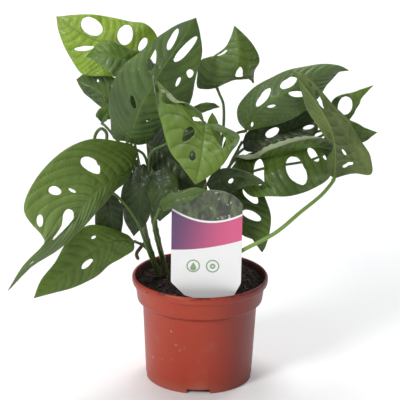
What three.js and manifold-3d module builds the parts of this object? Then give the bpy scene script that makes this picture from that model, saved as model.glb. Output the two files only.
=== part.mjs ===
// A potted Swiss cheese vine (Monstera adansonii) in a 12 cm plastic nursery pot with its label.
// Millimetres, +Z up, origin on the ground under the middle of the plant. +X is the plant's right and
// -Y its front. The pot is hollow and drains through its floor; the soil fills it; three vines rise
// from the soil, and each leaf is a perforated blade on its own petiole.

import * as THREE from "three";
import { mergeVertices } from "three/addons/utils/BufferGeometryUtils.js";
import Module from "manifold-3d";

const wasm = await Module();
wasm.setup();

// Driving dimensions
const GAP = 0.4; // clearance between neighbouring pieces
const RIM_R = 60; // outside radius of the rolled rim: a 12 cm pot
const POT_H = 94.6; // height of the pot
const BASE_R = 47.1; // outside radius at the ground
const WALL = 1.3; // wall of the pot
const FLOOR_Z = 4.4; // underside of the floor, raised on the foot ring
const SOIL_TOP = 87; // soil level at the wall
const BLADE = 0.8; // thickness of a leaf blade
const PETIOLE_R = 1.5; // radius of a petiole
const VINE_R = 2.7; // radius of a vine

const POT_SEGMENTS = 48;
const HOLE_POINTS = 8;
const HOLE_PLUG = 3; // how far a hole's plug stands out of the blade on each side

const colours = {
  pot: new THREE.MeshStandardMaterial({ color: 0xa34f3f, roughness: 0.5, metalness: 0 }),
  soil: new THREE.MeshStandardMaterial({ color: 0x1d1411, roughness: 0.95, metalness: 0 }),
  label: new THREE.MeshStandardMaterial({ color: 0xd8d8dc, roughness: 0.3, metalness: 0 }),
  vine: new THREE.MeshStandardMaterial({ color: 0x46552b, roughness: 0.6, metalness: 0 }),
  petiole: new THREE.MeshStandardMaterial({ color: 0x5f7a33, roughness: 0.5, metalness: 0 }),
  leaf: new THREE.MeshStandardMaterial({ color: 0x3f6a2e, roughness: 0.45, metalness: 0 }),
  young: new THREE.MeshStandardMaterial({ color: 0x6d9a36, roughness: 0.5, metalness: 0 }),
};

const plant = new THREE.Group();

function addPiece(name, geometry, material) {
  const mesh = new THREE.Mesh(geometry, material);
  mesh.name = name;
  plant.add(mesh);
  return mesh;
}

// Solids for the boolean cuts and joins, and back again
function toSolid(geometry) {
  const bare = geometry.index ? geometry.toNonIndexed() : geometry.clone();
  bare.deleteAttribute("normal");
  bare.deleteAttribute("uv");
  const merged = mergeVertices(bare, 1e-3);
  return new wasm.Manifold(
    new wasm.Mesh({
      numProp: 3,
      vertProperties: new Float32Array(merged.attributes.position.array),
      triVerts: new Uint32Array(merged.index.array),
    }),
  );
}

function trianglesToSolid(triangles) {
  const corners = triangles.flat().flatMap((corner) => corner.toArray());
  const geometry = new THREE.BufferGeometry();
  geometry.setAttribute("position", new THREE.Float32BufferAttribute(corners, 3));
  return toSolid(geometry);
}

// The same solid with its faces turned round where they point inwards
function facingOut(solid, triangles) {
  if (solid.volume() > 0) return solid;
  return trianglesToSolid(triangles.map(([a, b, c]) => [a, c, b]));
}

function fromSolid(solid) {
  const mesh = solid.getMesh();
  const geometry = new THREE.BufferGeometry();
  geometry.setAttribute("position", new THREE.BufferAttribute(mesh.vertProperties, 3));
  geometry.setIndex(new THREE.BufferAttribute(mesh.triVerts, 1));
  geometry.computeVertexNormals();
  return geometry;
}

// A solid of revolution about +Z from [radius, height] corners given anticlockwise
function turned(corners, segments = POT_SEGMENTS) {
  const profile = corners.map(([r, z]) => new THREE.Vector2(r, z));
  profile.push(profile[0].clone());
  return new THREE.LatheGeometry(profile, segments).rotateX(Math.PI / 2);
}

// The pot: foot ring, raised floor, tapered wall, stepped collar and rolled rim
const BODY_TOP = { r: 50.4, z: 69 };
const COLLAR = { r: 55.3, z: 73, topR: 57.2, topZ: 87 };
const FOOT_W = 3.2;
const NOTCHES = 4;
const NOTCH_W = 20.5;
const NOTCH_H = 4.2;
const DRAINS = 6;
const DRAIN_R = 4;
const DRAIN_RING = 33;

function potGeometry() {
  const shell = turned([
    [BASE_R - FOOT_W, 0],
    [BASE_R, 0],
    [BODY_TOP.r, BODY_TOP.z],
    [COLLAR.r - 1.5, COLLAR.z - 1.5],
    [COLLAR.r, COLLAR.z],
    [COLLAR.topR, COLLAR.topZ],
    [RIM_R - 0.7, COLLAR.topZ + 0.6],
    [RIM_R, COLLAR.topZ + 2.4],
    [RIM_R, POT_H - 1.6],
    [RIM_R - 1.2, POT_H],
    [RIM_R - 2.4, POT_H - 0.5],
    [COLLAR.topR - WALL, COLLAR.topZ],
    [COLLAR.r - WALL, COLLAR.z + 0.8],
    [BODY_TOP.r - WALL, BODY_TOP.z + 0.8],
    [BASE_R - WALL + 0.2, FLOOR_Z + WALL],
    [0, FLOOR_Z + WALL],
    [0, FLOOR_Z],
    [BASE_R - FOOT_W, FLOOR_Z],
  ]);
  let pot = toSolid(shell);
  for (let i = 0; i < NOTCHES; i++) {
    const turn = -Math.PI / 2 + (i * 2 * Math.PI) / NOTCHES;
    const notch = new THREE.BoxGeometry(2 * FOOT_W + 4, NOTCH_W, 2 * NOTCH_H);
    notch.translate(BASE_R - FOOT_W / 2, 0, 0).rotateZ(turn);
    pot = pot.subtract(toSolid(notch));
  }
  for (let i = 0; i < DRAINS; i++) {
    const turn = (i * 2 * Math.PI) / DRAINS;
    const drain = new THREE.CylinderGeometry(DRAIN_R, DRAIN_R, 6, 12).rotateX(Math.PI / 2);
    drain.translate(DRAIN_RING, 0, FLOOR_Z).rotateZ(turn);
    pot = pot.subtract(toSolid(drain));
  }
  return fromSolid(pot);
}

// A round rod along a smooth curve through the given points
function rodGeometry(points, radius, steps, sides = 6) {
  const path = new THREE.CatmullRomCurve3(points, false, "catmullrom", 0.5);
  const section = new THREE.Shape();
  for (let i = 0; i < sides; i++) {
    const a = (i * 2 * Math.PI) / sides;
    const corner = [radius * Math.cos(a), radius * Math.sin(a)];
    if (i === 0) section.moveTo(...corner);
    else section.lineTo(...corner);
  }
  section.closePath();
  return new THREE.ExtrudeGeometry(section, { steps, extrudePath: path });
}

const point = ([x, y, z]) => new THREE.Vector3(x, y, z);

// The vines: three stems from the soil, from the bottom up. The left one carries two aerial roots.
const VINES = {
  left: [
    [-36, 10, 60], [-36, 10, 84], [-41, 6, 103], [-47, 0, 125], [-51, -2, 146], [-54, 0, 166],
    [-57, 8, 196],
  ],
  middle: [
    [-28, 16, 60], [-28, 16, 80], [-33, 13, 101], [-38, 10, 123], [-42, 8, 146], [-44, 8, 169],
    [-46, 6, 190],
  ],
  right: [[22, 10, 60], [22, 10, 82], [19, 8, 103], [16, 6, 124], [14, 4, 148], [12, 4, 171], [11, 2, 192]],
};
const ROOT_STUB = [[-47, 0, 125], [-53, -4, 119], [-56, -6, 114], [-54, -7, 109]];
const ROOT_LOOP = [
  [-57, 8, 194], [-72, 9, 200], [-82, 10, 208], [-83, 10, 219],
  [-88, 10, 223], [-93, 10, 216], [-93, 10, 203], [-90, 9, 190],
];
const ROOT_R = 1.6;

const vinePaths = {};
for (const [name, points] of Object.entries(VINES)) {
  vinePaths[name] = new THREE.CatmullRomCurve3(points.map(point), false, "catmullrom", 0.5);
}

function vineGeometry(name) {
  const stem = toSolid(rodGeometry(VINES[name].map(point), VINE_R, 12, 8));
  if (name !== "left") return fromSolid(stem);
  const stub = toSolid(rodGeometry(ROOT_STUB.map(point), ROOT_R, 4));
  const loop = toSolid(rodGeometry(ROOT_LOOP.map(point), ROOT_R, 14));
  return fromSolid(stem.add(stub).add(loop));
}

// The label: a thin plastic card with a domed top, cut shoulders and a stake pushed into the soil
const CARD = { left: -25, right: 35, shoulder: 103, domeFoot: 168, domeTop: 186, t: 0.6, y: -44 };
const STAKE = { middle: 2, halfWidth: 8, bottom: 40, neck: 91 };

function cardOutline(grow = 0) {
  const middle = (CARD.left + CARD.right) / 2;
  const card = new THREE.Shape();
  card.moveTo(STAKE.middle - STAKE.halfWidth - grow, STAKE.bottom - grow);
  card.lineTo(STAKE.middle + STAKE.halfWidth + grow, STAKE.bottom - grow);
  card.lineTo(STAKE.middle + STAKE.halfWidth + grow, STAKE.neck - 2 - grow);
  card.lineTo(CARD.right - 6 + grow, STAKE.neck - grow);
  card.lineTo(CARD.right + grow, CARD.shoulder);
  card.lineTo(CARD.right + grow, CARD.domeFoot + 5);
  card.quadraticCurveTo(CARD.right - 8, CARD.domeTop, middle + 4, CARD.domeTop + grow);
  card.quadraticCurveTo(CARD.left + 12, CARD.domeTop, CARD.left - grow, CARD.domeFoot);
  card.lineTo(CARD.left - grow, CARD.shoulder);
  card.lineTo(CARD.left + 12 - grow, STAKE.neck - grow);
  card.lineTo(STAKE.middle - STAKE.halfWidth - grow, STAKE.neck - 2 - grow);
  card.closePath();
  return card;
}

function cardGeometry(grow = 0) {
  const depth = CARD.t + 2 * grow;
  const form = { depth, bevelEnabled: false, curveSegments: 6 };
  const card = new THREE.ExtrudeGeometry(cardOutline(grow), form);
  return card.rotateX(Math.PI / 2).translate(0, CARD.y + depth / 2, 0);
}

// The soil: it fills the pot to just below the rim, heaped towards the vines and the back right,
// with room for the label's stake and the vines
const HEAP = 5;
function soilGeometry() {
  const inside = WALL + GAP;
  const corners = [
    [0, FLOOR_Z + WALL + GAP],
    [BASE_R - inside - 0.4, FLOOR_Z + WALL + GAP],
    [BODY_TOP.r - inside - 0.1, BODY_TOP.z + 0.8],
    [COLLAR.r - inside - 0.3, COLLAR.z + 1.4],
    [COLLAR.topR - inside - 0.2, SOIL_TOP - 1],
    [COLLAR.topR - inside - 3, SOIL_TOP],
    [38, SOIL_TOP + 0.4],
    [20, SOIL_TOP + 1.2],
    [0, SOIL_TOP + 1.5],
  ];
  const heap = turned(corners, 32);
  const at = heap.getAttribute("position");
  for (let i = 0; i < at.count; i++) {
    if (at.getZ(i) < SOIL_TOP - 0.5) continue;
    const lift = Math.max(0, (at.getX(i) + at.getY(i)) / 60) * HEAP;
    const edge = Math.min(1, (COLLAR.topR - Math.hypot(at.getX(i), at.getY(i))) / 8);
    at.setZ(i, at.getZ(i) + lift * edge);
  }
  let soil = toSolid(heap).subtract(toSolid(cardGeometry(GAP)));
  for (const points of Object.values(VINES)) {
    const pocket = toSolid(rodGeometry(points.map(point), VINE_R + 1.5 * GAP, 12, 8));
    soil = soil.subtract(pocket).subtract(pocket.translate([0, 0, -GAP]));
  }
  return fromSolid(soil);
}

// A blade hangs between three smooth lines that run from its base to its tip: the midrib and the two
// margins. A place on it is (along, across): along runs 0 to 1 from base to tip, and across runs from
// -1 on the left margin through 0 on the midrib to 1 on the right margin.
class Blade {
  constructor({ base, tip, rib, left, right, holes = [] }) {
    const line = (inner) =>
      new THREE.CatmullRomCurve3([base, ...inner, tip].map(point), false, "catmullrom", 0.5);
    this.rib = line(rib);
    this.left = line(left);
    this.right = line(right);
    this.holes = holes;
    this.length = this.rib.getLength();
  }

  place(along, across) {
    const middle = this.rib.getPoint(along);
    const margin = (across < 0 ? this.left : this.right).getPoint(along);
    return middle.lerp(margin, Math.abs(across));
  }

  // The way the upper side faces; it is measured clear of the ends, where the lines meet
  halfNormal(along, across, side) {
    const step = 0.02;
    const a = Math.min(0.96, Math.max(0.04, along));
    const c = side * Math.min(0.9, Math.max(0.1, Math.abs(across)));
    const forward = this.place(a + step, c).sub(this.place(a - step, c));
    const sideways = this.place(a, c + step).sub(this.place(a, c - step));
    return forward.cross(sideways).normalize();
  }

  normal(along, across) {
    if (across !== 0) return this.halfNormal(along, across, Math.sign(across));
    const both = this.halfNormal(along, 0, -1).add(this.halfNormal(along, 0, 1));
    return both.normalize();
  }

  halfWidth(along, side) {
    return Math.max(0.5, this.place(along, side).distanceTo(this.rib.getPoint(along)));
  }

  // (along, across) laid out flat in millimetres, and back
  flatten([along, across], side) {
    return new THREE.Vector2(along * this.length, Math.abs(across) * this.halfWidth(along, side));
  }

  unflatten(flat, side) {
    const along = flat.x / this.length;
    return [along, (side * flat.y) / this.halfWidth(along, side)];
  }

  // A hole is an oval from its end near the midrib to its end near the margin, as a closed plug that
  // stands through the blade
  holePlug([along1, across1, along2, across2, width]) {
    const side = Math.sign(across1 + across2);
    const from = this.flatten([along1, across1], side);
    const to = this.flatten([along2, across2], side);
    const middle = from.clone().lerp(to, 0.5);
    const longHalf = to.clone().sub(from).multiplyScalar(0.5);
    const shortHalf = new THREE.Vector2(-longHalf.y, longHalf.x).setLength(width / 2);
    const centre = this.unflatten(middle, side);
    const through = this.normal(...centre).multiplyScalar(HOLE_PLUG);
    const ends = (place) => [place.clone().add(through), place.clone().sub(through)];
    const [topMiddle, lowMiddle] = ends(this.place(...centre));
    const ring = [];
    for (let i = 0; i < HOLE_POINTS; i++) {
      const a = (i * 2 * Math.PI) / HOLE_POINTS;
      const flat = middle.clone();
      flat.addScaledVector(longHalf, Math.cos(a)).addScaledVector(shortHalf, Math.sin(a));
      ring.push(ends(this.place(...this.unflatten(flat, side))));
    }
    const triangles = [];
    ring.forEach(([top, low], i) => {
      const [nextTop, nextLow] = ring[(i + 1) % HOLE_POINTS];
      triangles.push([topMiddle, top, nextTop], [lowMiddle, nextLow, low]);
      triangles.push([top, low, nextLow], [top, nextLow, nextTop]);
    });
    return facingOut(trianglesToSolid(triangles), triangles);
  }

  // The sheet without its holes: two skins over the same grid, joined along the margins
  sheet() {
    const steps = Math.min(10, Math.max(5, Math.round(this.length / 11)));
    const widest = Math.max(this.halfWidth(0.4, -1), this.halfWidth(0.4, 1));
    const columns = widest > 12 ? [-1, -0.5, 0, 0.5, 1] : [-1, 0, 1];
    const skin = (along, across, height) =>
      this.place(along, across).addScaledVector(this.normal(along, across), height);
    const triangles = [];
    for (const [height, order] of [[BLADE / 2, 1], [-BLADE / 2, -1]]) {
      const add = (a, b, c) => triangles.push(order > 0 ? [a, b, c] : [a, c, b]);
      const start = skin(0, 0, height);
      const end = skin(1, 0, height);
      for (let i = 0; i < steps; i++) {
        for (let j = 0; j + 1 < columns.length; j++) {
          const here = (across) => (i === 0 ? start : skin(i / steps, across, height));
          const next = (across) => (i + 1 === steps ? end : skin((i + 1) / steps, across, height));
          const [a, b] = columns.slice(j, j + 2).map(here);
          const [d, c] = columns.slice(j, j + 2).map(next);
          if (i > 0) add(a, c, b);
          if (i + 1 < steps) add(a, d, c);
        }
      }
    }
    for (const side of [-1, 1]) {
      for (let i = 0; i < steps; i++) {
        const edge = [i / steps, (i + 1) / steps].map((along) => {
          const across = along === 0 || along === 1 ? 0 : side;
          return [skin(along, across, BLADE / 2), skin(along, across, -BLADE / 2)];
        });
        const [[top, low], [nextTop, nextLow]] = side < 0 ? edge : edge.reverse();
        triangles.push([top, low, nextLow], [top, nextLow, nextTop]);
      }
    }
    return trianglesToSolid(triangles);
  }

  geometry() {
    let blade = this.sheet();
    for (const hole of this.holes) blade = blade.subtract(this.holePlug(hole));
    return fromSolid(blade);
  }
}

// Each leaf: the vine and the height along it (0 at its foot, 1 at its top) where its petiole leaves,
// the petiole's way to the blade, and the blade's lines and holes. A hole is its two ends in
// (along, across) and its width.
const LEAVES = {
  young: {
    young: true,
    vine: "middle",
    at: 0.62,
    way: [[-44, 24, 210], [-43, 40, 242], [-44, 46, 269]],
    base: [-47, 38, 278],
    tip: [-130, 62, 310],
    rib: [[-68, 40, 286], [-92, 46, 292], [-113, 54, 300]],
    left: [
      [-57, 32, 263], [-80, 30, 265], [-96, 32, 264], [-107, 36, 266], [-119, 46, 281],
      [-127, 56, 297],
    ],
    right: [[-40, 44, 294], [-49, 46, 307], [-67, 50, 310], [-88, 54, 313], [-109, 58, 313]],
    holes: [
      [0.55, 0.20, 0.77, 0.78, 14], [0.51, -0.19, 0.68, -0.64, 4], [0.30, 0.15, 0.47, 0.84, 10],
      [0.16, 0.22, 0.25, 0.68, 5],
    ],
  },
  small_left: {
    vine: "middle",
    at: 0.8,
    way: [[-49, 22, 219], [-56, 28, 253], [-58, 26, 275]],
    base: [-60, 20, 282],
    tip: [-101, 22, 284],
    rib: [[-72, 16, 285], [-85, 16, 287]],
    left: [[-61, 14, 271], [-73, 10, 269], [-82, 10, 274], [-92, 16, 281]],
    right: [[-56, 22, 289], [-67, 22, 292], [-79, 22, 299], [-89, 22, 296], [-96, 22, 290]],
    holes: [[0.37, -0.35, 0.29, -0.55, 1.6]],
  },
  tall: {
    vine: "middle",
    at: 0.98,
    way: [[-51, 12, 200], [-62, 10, 207]],
    base: [-65, 2, 214],
    tip: [-7, 24, 319],
    rib: [[-59, -4, 229], [-53, -8, 248], [-39, -6, 274], [-25, 6, 294]],
    left: [[-77, 4, 217], [-80, 4, 234], [-79, 2, 258], [-68, 4, 281], [-48, 12, 297], [-27, 20, 311]],
    right: [
      [-54, 6, 210], [-38, 10, 215], [-21, 12, 230], [-11, 10, 246], [-6, 10, 269], [-2, 14, 291],
      [-3, 19, 305],
    ],
    holes: [
      [0.38, -0.11, 0.45, -0.37, 4], [0.61, -0.26, 0.72, -0.68, 7.5], [0.77, -0.25, 0.88, -0.70, 7],
      [0.71, 0.24, 0.87, 0.78, 11], [0.57, 0.52, 0.62, 0.54, 3.5], [0.66, 0.68, 0.63, 0.88, 4.5],
      [0.31, 0.27, 0.34, 0.34, 1.6],
    ],
  },
  front: {
    young: true,
    vine: "middle",
    at: 0.88,
    way: [[-44, -12, 207], [-31, -14, 217], [-9, -22, 231]],
    base: [2, -34, 242],
    tip: [-5, -84, 203],
    rib: [[2, -37, 240], [2, -41, 237], [1, -47, 231], [0, -57, 224], [-2, -71, 213]],
    left: [
      [-6, -32, 250], [-19, -30, 259], [-32, -24, 269], [-43, -18, 277], [-40, -30, 261],
      [-34, -46, 243], [-27, -62, 226], [-17, -74, 216],
    ],
    right: [[10, -34, 237], [20, -34, 232], [30, -36, 227], [24, -50, 221], [17, -64, 214], [5, -76, 207]],
    holes: [
      [0.39, -0.56, 0.52, -0.82, 8], [0.52, -0.19, 0.69, -0.51, 7], [0.74, -0.16, 0.78, -0.36, 5],
      [0.14, -0.24, 0.44, -0.25, 4], [0.22, 0.45, 0.56, 0.70, 9],
    ],
  },
  upper_right: {
    vine: "right",
    at: 0.94,
    way: [[15, 8, 206], [18, 12, 223], [18, 26, 241], [14, 34, 250]],
    base: [12, 34, 255],
    tip: [26, 32, 311],
    rib: [[24, 26, 269], [30, 20, 285], [29, 24, 300]],
    left: [
      [2, 36, 253], [-5, 38, 254], [-5, 38, 266], [-2, 36, 279], [8, 32, 284], [18, 28, 292],
      [23, 28, 301],
    ],
    right: [
      [24, 34, 261], [35, 36, 263], [43, 37, 264], [44, 38, 258], [45, 37, 269], [48, 36, 280],
      [42, 33, 295], [32, 31, 306],
    ],
    holes: [[0.57, -0.65, 0.66, -0.47, 4], [0.44, 0.20, 0.24, 0.42, 8.5]],
  },
  right_arch: {
    vine: "right",
    at: 0.86,
    way: [[20, -4, 216], [29, 8, 221]],
    base: [38, 14, 222],
    tip: [127, 36, 272],
    rib: [[47, 4, 243], [62, -2, 256], [80, 2, 266], [102, 16, 273]],
    left: [
      [31, 18, 230], [31, 16, 245], [42, 12, 260], [59, 10, 271], [76, 12, 278], [98, 20, 281],
      [116, 30, 278],
    ],
    right: [[51, 6, 227], [70, 0, 234], [86, 2, 243], [99, 10, 253], [108, 22, 263], [117, 32, 271]],
    holes: [
      [0.25, -0.15, 0.44, -0.52, 7], [0.49, -0.28, 0.62, -0.38, 8], [0.50, 0.09, 0.56, 0.52, 8],
      [0.07, 0.37, 0.11, 0.31, 3], [0.29, 0.12, 0.35, 0.22, 2.2],
    ],
  },
  far_right: {
    thick: 2,
    vine: "right",
    at: 0.32,
    way: [[35, -38, 130], [63, -42, 148], [84, -34, 164], [102, -18, 174], [112, -2, 180]],
    base: [115, 4, 183],
    tip: [73, -6, 282],
    rib: [[115, -3, 202], [113, -7, 219], [107, -10, 237], [96, -13, 255], [84, -12, 270]],
    left: [
      [109, 2, 190], [108, 0, 203], [112, -4, 214], [101, -8, 230], [89, -12, 247], [83, -13, 264],
      [79, -10, 276],
    ],
    right: [
      [123, 6, 185], [135, 12, 185], [148, 18, 184], [147, 18, 198], [139, 14, 213], [127, 6, 235],
      [114, 0, 247], [100, -6, 264], [87, -8, 277],
    ],
    holes: [
      [0.80, 0.74, 0.64, 0.22, 6], [0.32, 0.24, 0.30, 0.36, 5], [0.16, 0.52, 0.28, 0.59, 2.8],
      [0.86, 0.72, 0.82, 0.62, 1.6],
    ],
  },
  right_tip: {
    vine: "right",
    at: 0.72,
    way: [[33, 18, 194], [77, 28, 207], [101, 28, 213]],
    base: [111, 26, 221],
    tip: [154, 34, 217],
    rib: [[125, 28, 222], [140, 30, 219]],
    left: [[116, 26, 210], [130, 28, 205], [142, 31, 209]],
    right: [[117, 28, 234], [129, 30, 229], [142, 32, 222]],
  },
  right_loop: {
    vine: "right",
    at: 0.8,
    way: [[35, 30, 200], [77, 38, 209], [107, 40, 217]],
    base: [119, 34, 226],
    tip: [150, 46, 257],
    rib: [[129, 36, 235], [139, 40, 246]],
    left: [[127, 34, 226], [132, 36, 232], [137, 40, 242], [144, 43, 251]],
    right: [[112, 36, 237], [114, 38, 245], [121, 40, 249], [131, 42, 251], [141, 44, 254]],
    holes: [[0.21, 0.11, 0.53, 0.77, 12]],
  },
  lower_right: {
    vine: "right",
    at: 0.5,
    way: [[18, -4, 181]],
    base: [29, -4, 203],
    tip: [119, 20, 203],
    rib: [[51, -12, 205], [75, -12, 211], [97, 0, 212]],
    left: [[32, -10, 209], [44, -16, 213], [56, -20, 222], [74, -18, 228], [94, -4, 225], [111, 12, 214]],
    right: [[29, -14, 191], [40, -27, 177], [56, -38, 179], [75, -38, 180], [94, -22, 181], [111, 6, 184]],
    holes: [
      [0.51, 0.14, 0.65, 0.82, 13], [0.68, 0.01, 0.76, 0.36, 8], [0.23, 0.02, 0.36, 0.72, 8],
      [0.81, 0.18, 0.84, 0.38, 4],
    ],
  },
  big_left: {
    vine: "left",
    at: 0.5,
    way: [[-60, 1, 162], [-63, 0, 176], [-62, -5, 187]],
    base: [-59, -12, 195],
    tip: [-157, -112, 118],
    rib: [
      [-69, -26, 192], [-80, -40, 189], [-88, -50, 185], [-96, -60, 178], [-104, -70, 168],
      [-123, -92, 151],
    ],
    left: [
      [-63, -20, 186], [-72, -34, 181], [-82, -48, 173], [-91, -60, 166], [-102, -74, 156],
      [-118, -90, 146], [-139, -102, 135],
    ],
    right: [
      [-56, -6, 210], [-73, -14, 219], [-95, -28, 224], [-117, -46, 218], [-137, -66, 200],
      [-145, -84, 179], [-130, -92, 159], [-130, -96, 152], [-145, -104, 137],
    ],
    holes: [
      [0.32, 0.27, 0.37, 0.68, 10.5], [0.53, 0.50, 0.52, 0.72, 6], [0.51, 0.28, 0.50, 0.43, 2.4],
      [0.64, 0.77, 0.65, 0.91, 7], [0.62, 0.29, 0.81, 0.34, 13], [0.90, 0.30, 0.91, 0.45, 1.6],
    ],
  },
  low_left: {
    vine: "left",
    at: 0.4,
    way: [[-50, -13, 125], [-54, -19, 129]],
    base: [-57, -26, 133],
    tip: [-137, -98, 107],
    rib: [[-75, -42, 139], [-96, -62, 132], [-118, -82, 118]],
    left: [
      [-58, -30, 126], [-67, -40, 123], [-77, -52, 120], [-89, -66, 114], [-107, -78, 109],
      [-124, -90, 108],
    ],
    right: [
      [-64, -26, 139], [-76, -36, 148], [-94, -46, 154], [-110, -60, 147], [-121, -76, 131],
      [-132, -88, 119],
    ],
    holes: [[0.40, 0.49, 0.44, 0.49, 2.4], [0.49, -0.27, 0.59, -0.33, 4.6]],
  },
  left_back: {
    vine: "left",
    at: 0.84,
    way: [[-61, 22, 199], [-65, 32, 218]],
    base: [-69, 34, 232],
    tip: [-112, 52, 256],
    rib: [[-83, 40, 243], [-98, 46, 251]],
    left: [[-79, 34, 225], [-88, 38, 233], [-99, 44, 241], [-107, 49, 247]],
    right: [[-67, 34, 248], [-77, 38, 261], [-91, 44, 264], [-103, 49, 263]],
    holes: [[0.50, 0.22, 0.60, 0.62, 3], [0.28, 0.24, 0.38, 0.66, 3.6]],
  },
  curled: {
    vine: "left",
    at: 0.92,
    way: [[-67, 2, 206], [-81, 16, 220]],
    base: [-88, 22, 225],
    tip: [-74, 32, 241],
    rib: [[-86, 26, 230]],
    left: [[-93, 24, 231], [-91, 28, 235], [-86, 32, 238]],
    right: [[-83, 22, 227], [-78, 28, 231]],
  },
  hanging_left: {
    vine: "left",
    at: 0.27,
    way: [[-44, -12, 115], [-49, -26, 136], [-54, -30, 151], [-63, -30, 165], [-74, -31, 177]],
    base: [-81, -24, 175],
    tip: [-77, -22, 124],
    rib: [[-78, -25, 159], [-76, -24, 144]],
    left: [[-88, -26, 170], [-91, -26, 152], [-88, -24, 134]],
    right: [[-72, -22, 171], [-67, -21, 156], [-69, -21, 137]],
  },
  hanging_middle: {
    vine: "left",
    at: 0.68,
    way: [[-52, -8, 175], [-55, -4, 189]],
    base: [-56, -14, 195],
    tip: [-58, -16, 134],
    rib: [[-53, -20, 179], [-53, -20, 159]],
    left: [[-64, -14, 186], [-69, -15, 172], [-67, -14, 150]],
    right: [[-48, -14, 198], [-42, -22, 177], [-45, -20, 152]],
    holes: [[0.18, 0.07, 0.29, 0.14, 1.6]],
  },
  hanging_right: {
    vine: "middle",
    at: 0.5,
    way: [[-42, -6, 164], [-44, -10, 185]],
    base: [-42, -22, 194],
    tip: [-35, -34, 154],
    rib: [[-35, -30, 183], [-32, -34, 171]],
    left: [[-45, -22, 185], [-45, -26, 171], [-42, -30, 159]],
    right: [[-30, -24, 199], [-20, -30, 189], [-22, -36, 169]],
    holes: [[0.63, -0.59, 0.70, -0.87, 3.8]],
  },
  by_label: {
    vine: "middle",
    at: 0.36,
    way: [[-38, -20, 132], [-40, -42, 154], [-37, -43, 164]],
    base: [-35, -42, 169],
    tip: [5, -56, 190],
    rib: [[-25, -53, 180], [-11, -57, 186]],
    left: [[-30, -48, 168], [-21, -57, 175], [-9, -61, 182]],
    right: [[-35, -43, 175], [-28, -49, 183], [-18, -54, 188], [-6, -56, 192]],
  },
  over_label: {
    vine: "right",
    at: 0.42,
    way: [[6, -8, 161], [2, -20, 177]],
    base: [4, -24, 185],
    tip: [54, -40, 191],
    rib: [[19, -31, 193], [36, -36, 195]],
    left: [[11, -28, 178], [25, -34, 182], [39, -38, 188]],
    right: [[8, -24, 193], [19, -29, 201], [34, -35, 201], [47, -39, 197]],
    holes: [[0.44, -0.39, 0.49, -0.11, 4]],
  },
  low_right: {
    vine: "right",
    at: 0.38,
    way: [[22, -6, 149], [22, 0, 162]],
    base: [23, -10, 181],
    tip: [53, -30, 126],
    rib: [[28, -20, 165], [39, -27, 147]],
    left: [[18, -13, 171], [21, -21, 156], [34, -26, 142], [46, -29, 136], [50, -30, 130]],
    right: [[37, -6, 184], [49, -10, 179], [57, -18, 166], [60, -24, 156], [59, -28, 144], [56, -30, 132]],
    holes: [[0.22, 0.55, 0.40, 0.72, 8], [0.45, 0.14, 0.58, 0.64, 8]],
  },
  gap: {
    vine: "right",
    at: 0.98,
    way: [[3, 7, 209], [-9, 8, 232], [-14, 3, 244]],
    base: [-10, -6, 247],
    tip: [15, -6, 248],
    rib: [[2, -6, 247]],
    left: [[-4, -6, 243], [3, -6, 244], [10, -6, 247]],
    right: [[-2, -6, 251], [8, -6, 252]],
  },
  new: {
    vine: "right",
    at: 0.9,
    way: [[7, -8, 194], [9, -12, 205]],
    base: [10, -12, 212],
    tip: [8, -12, 245],
    rib: [[10, -12, 225], [9, -12, 237]],
    left: [[3, -12, 216], [3, -12, 229], [5, -12, 239]],
    right: [[17, -12, 215], [15, -12, 229], [12, -12, 239]],
  },
  dark_right: {
    vine: "right",
    at: 0.6,
    way: [[23, 4, 188], [31, 16, 204]],
    base: [35, 16, 212],
    tip: [101, 14, 235],
    rib: [[57, 18, 216], [79, 18, 224]],
    left: [[39, 12, 204], [61, 10, 206], [85, 8, 210], [98, 10, 221]],
    right: [[41, 20, 221], [65, 20, 232], [87, 18, 241]],
    holes: [[0.32, -0.00, 0.49, 0.35, 7], [0.75, -0.27, 0.87, -0.54, 4.6]],
  },
  dark_middle: {
    vine: "middle",
    at: 0.66,
    way: [[-39, 8, 186], [-43, 13, 199]],
    base: [-46, 4, 211],
    tip: [5, -14, 177],
    rib: [[-32, -1, 204], [-14, -8, 192]],
    left: [[-46, 1, 197], [-35, -4, 183], [-16, -10, 173]],
    right: [[-34, 3, 230], [-13, 1, 237], [0, -6, 212]],
  },
  back_high: {
    vine: "middle",
    at: 0.56,
    way: [[-46, 34, 174], [-47, 54, 206]],
    base: [-47, 58, 217],
    tip: [-49, 96, 264],
    rib: [[-47, 68, 232], [-46, 80, 248]],
    left: [[-60, 60, 222], [-67, 70, 238], [-61, 86, 255]],
    right: [[-34, 60, 223], [-28, 70, 239], [-34, 86, 256]],
    holes: [[0.42, -0.22, 0.55, -0.77, 5], [0.43, 0.30, 0.57, 0.83, 5]],
  },
  back_left: {
    vine: "left",
    at: 0.7,
    way: [[-55, 40, 177], [-61, 52, 201]],
    base: [-63, 56, 211],
    tip: [-106, 112, 235],
    rib: [[-76, 72, 222], [-90, 90, 231]],
    left: [[-73, 60, 214], [-86, 78, 222], [-98, 96, 228]],
    right: [[-65, 60, 229], [-76, 76, 239], [-92, 94, 244]],
  },
  back_right: {
    vine: "right",
    at: 0.66,
    way: [[39, 44, 173], [97, 56, 184]],
    base: [118, 60, 195],
    tip: [117, 104, 220],
    rib: [[119, 74, 203], [119, 88, 211]],
    left: [[111, 64, 199], [109, 78, 208], [112, 94, 216]],
    right: [[127, 64, 199], [130, 78, 207], [125, 94, 215]],
  },
};

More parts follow.
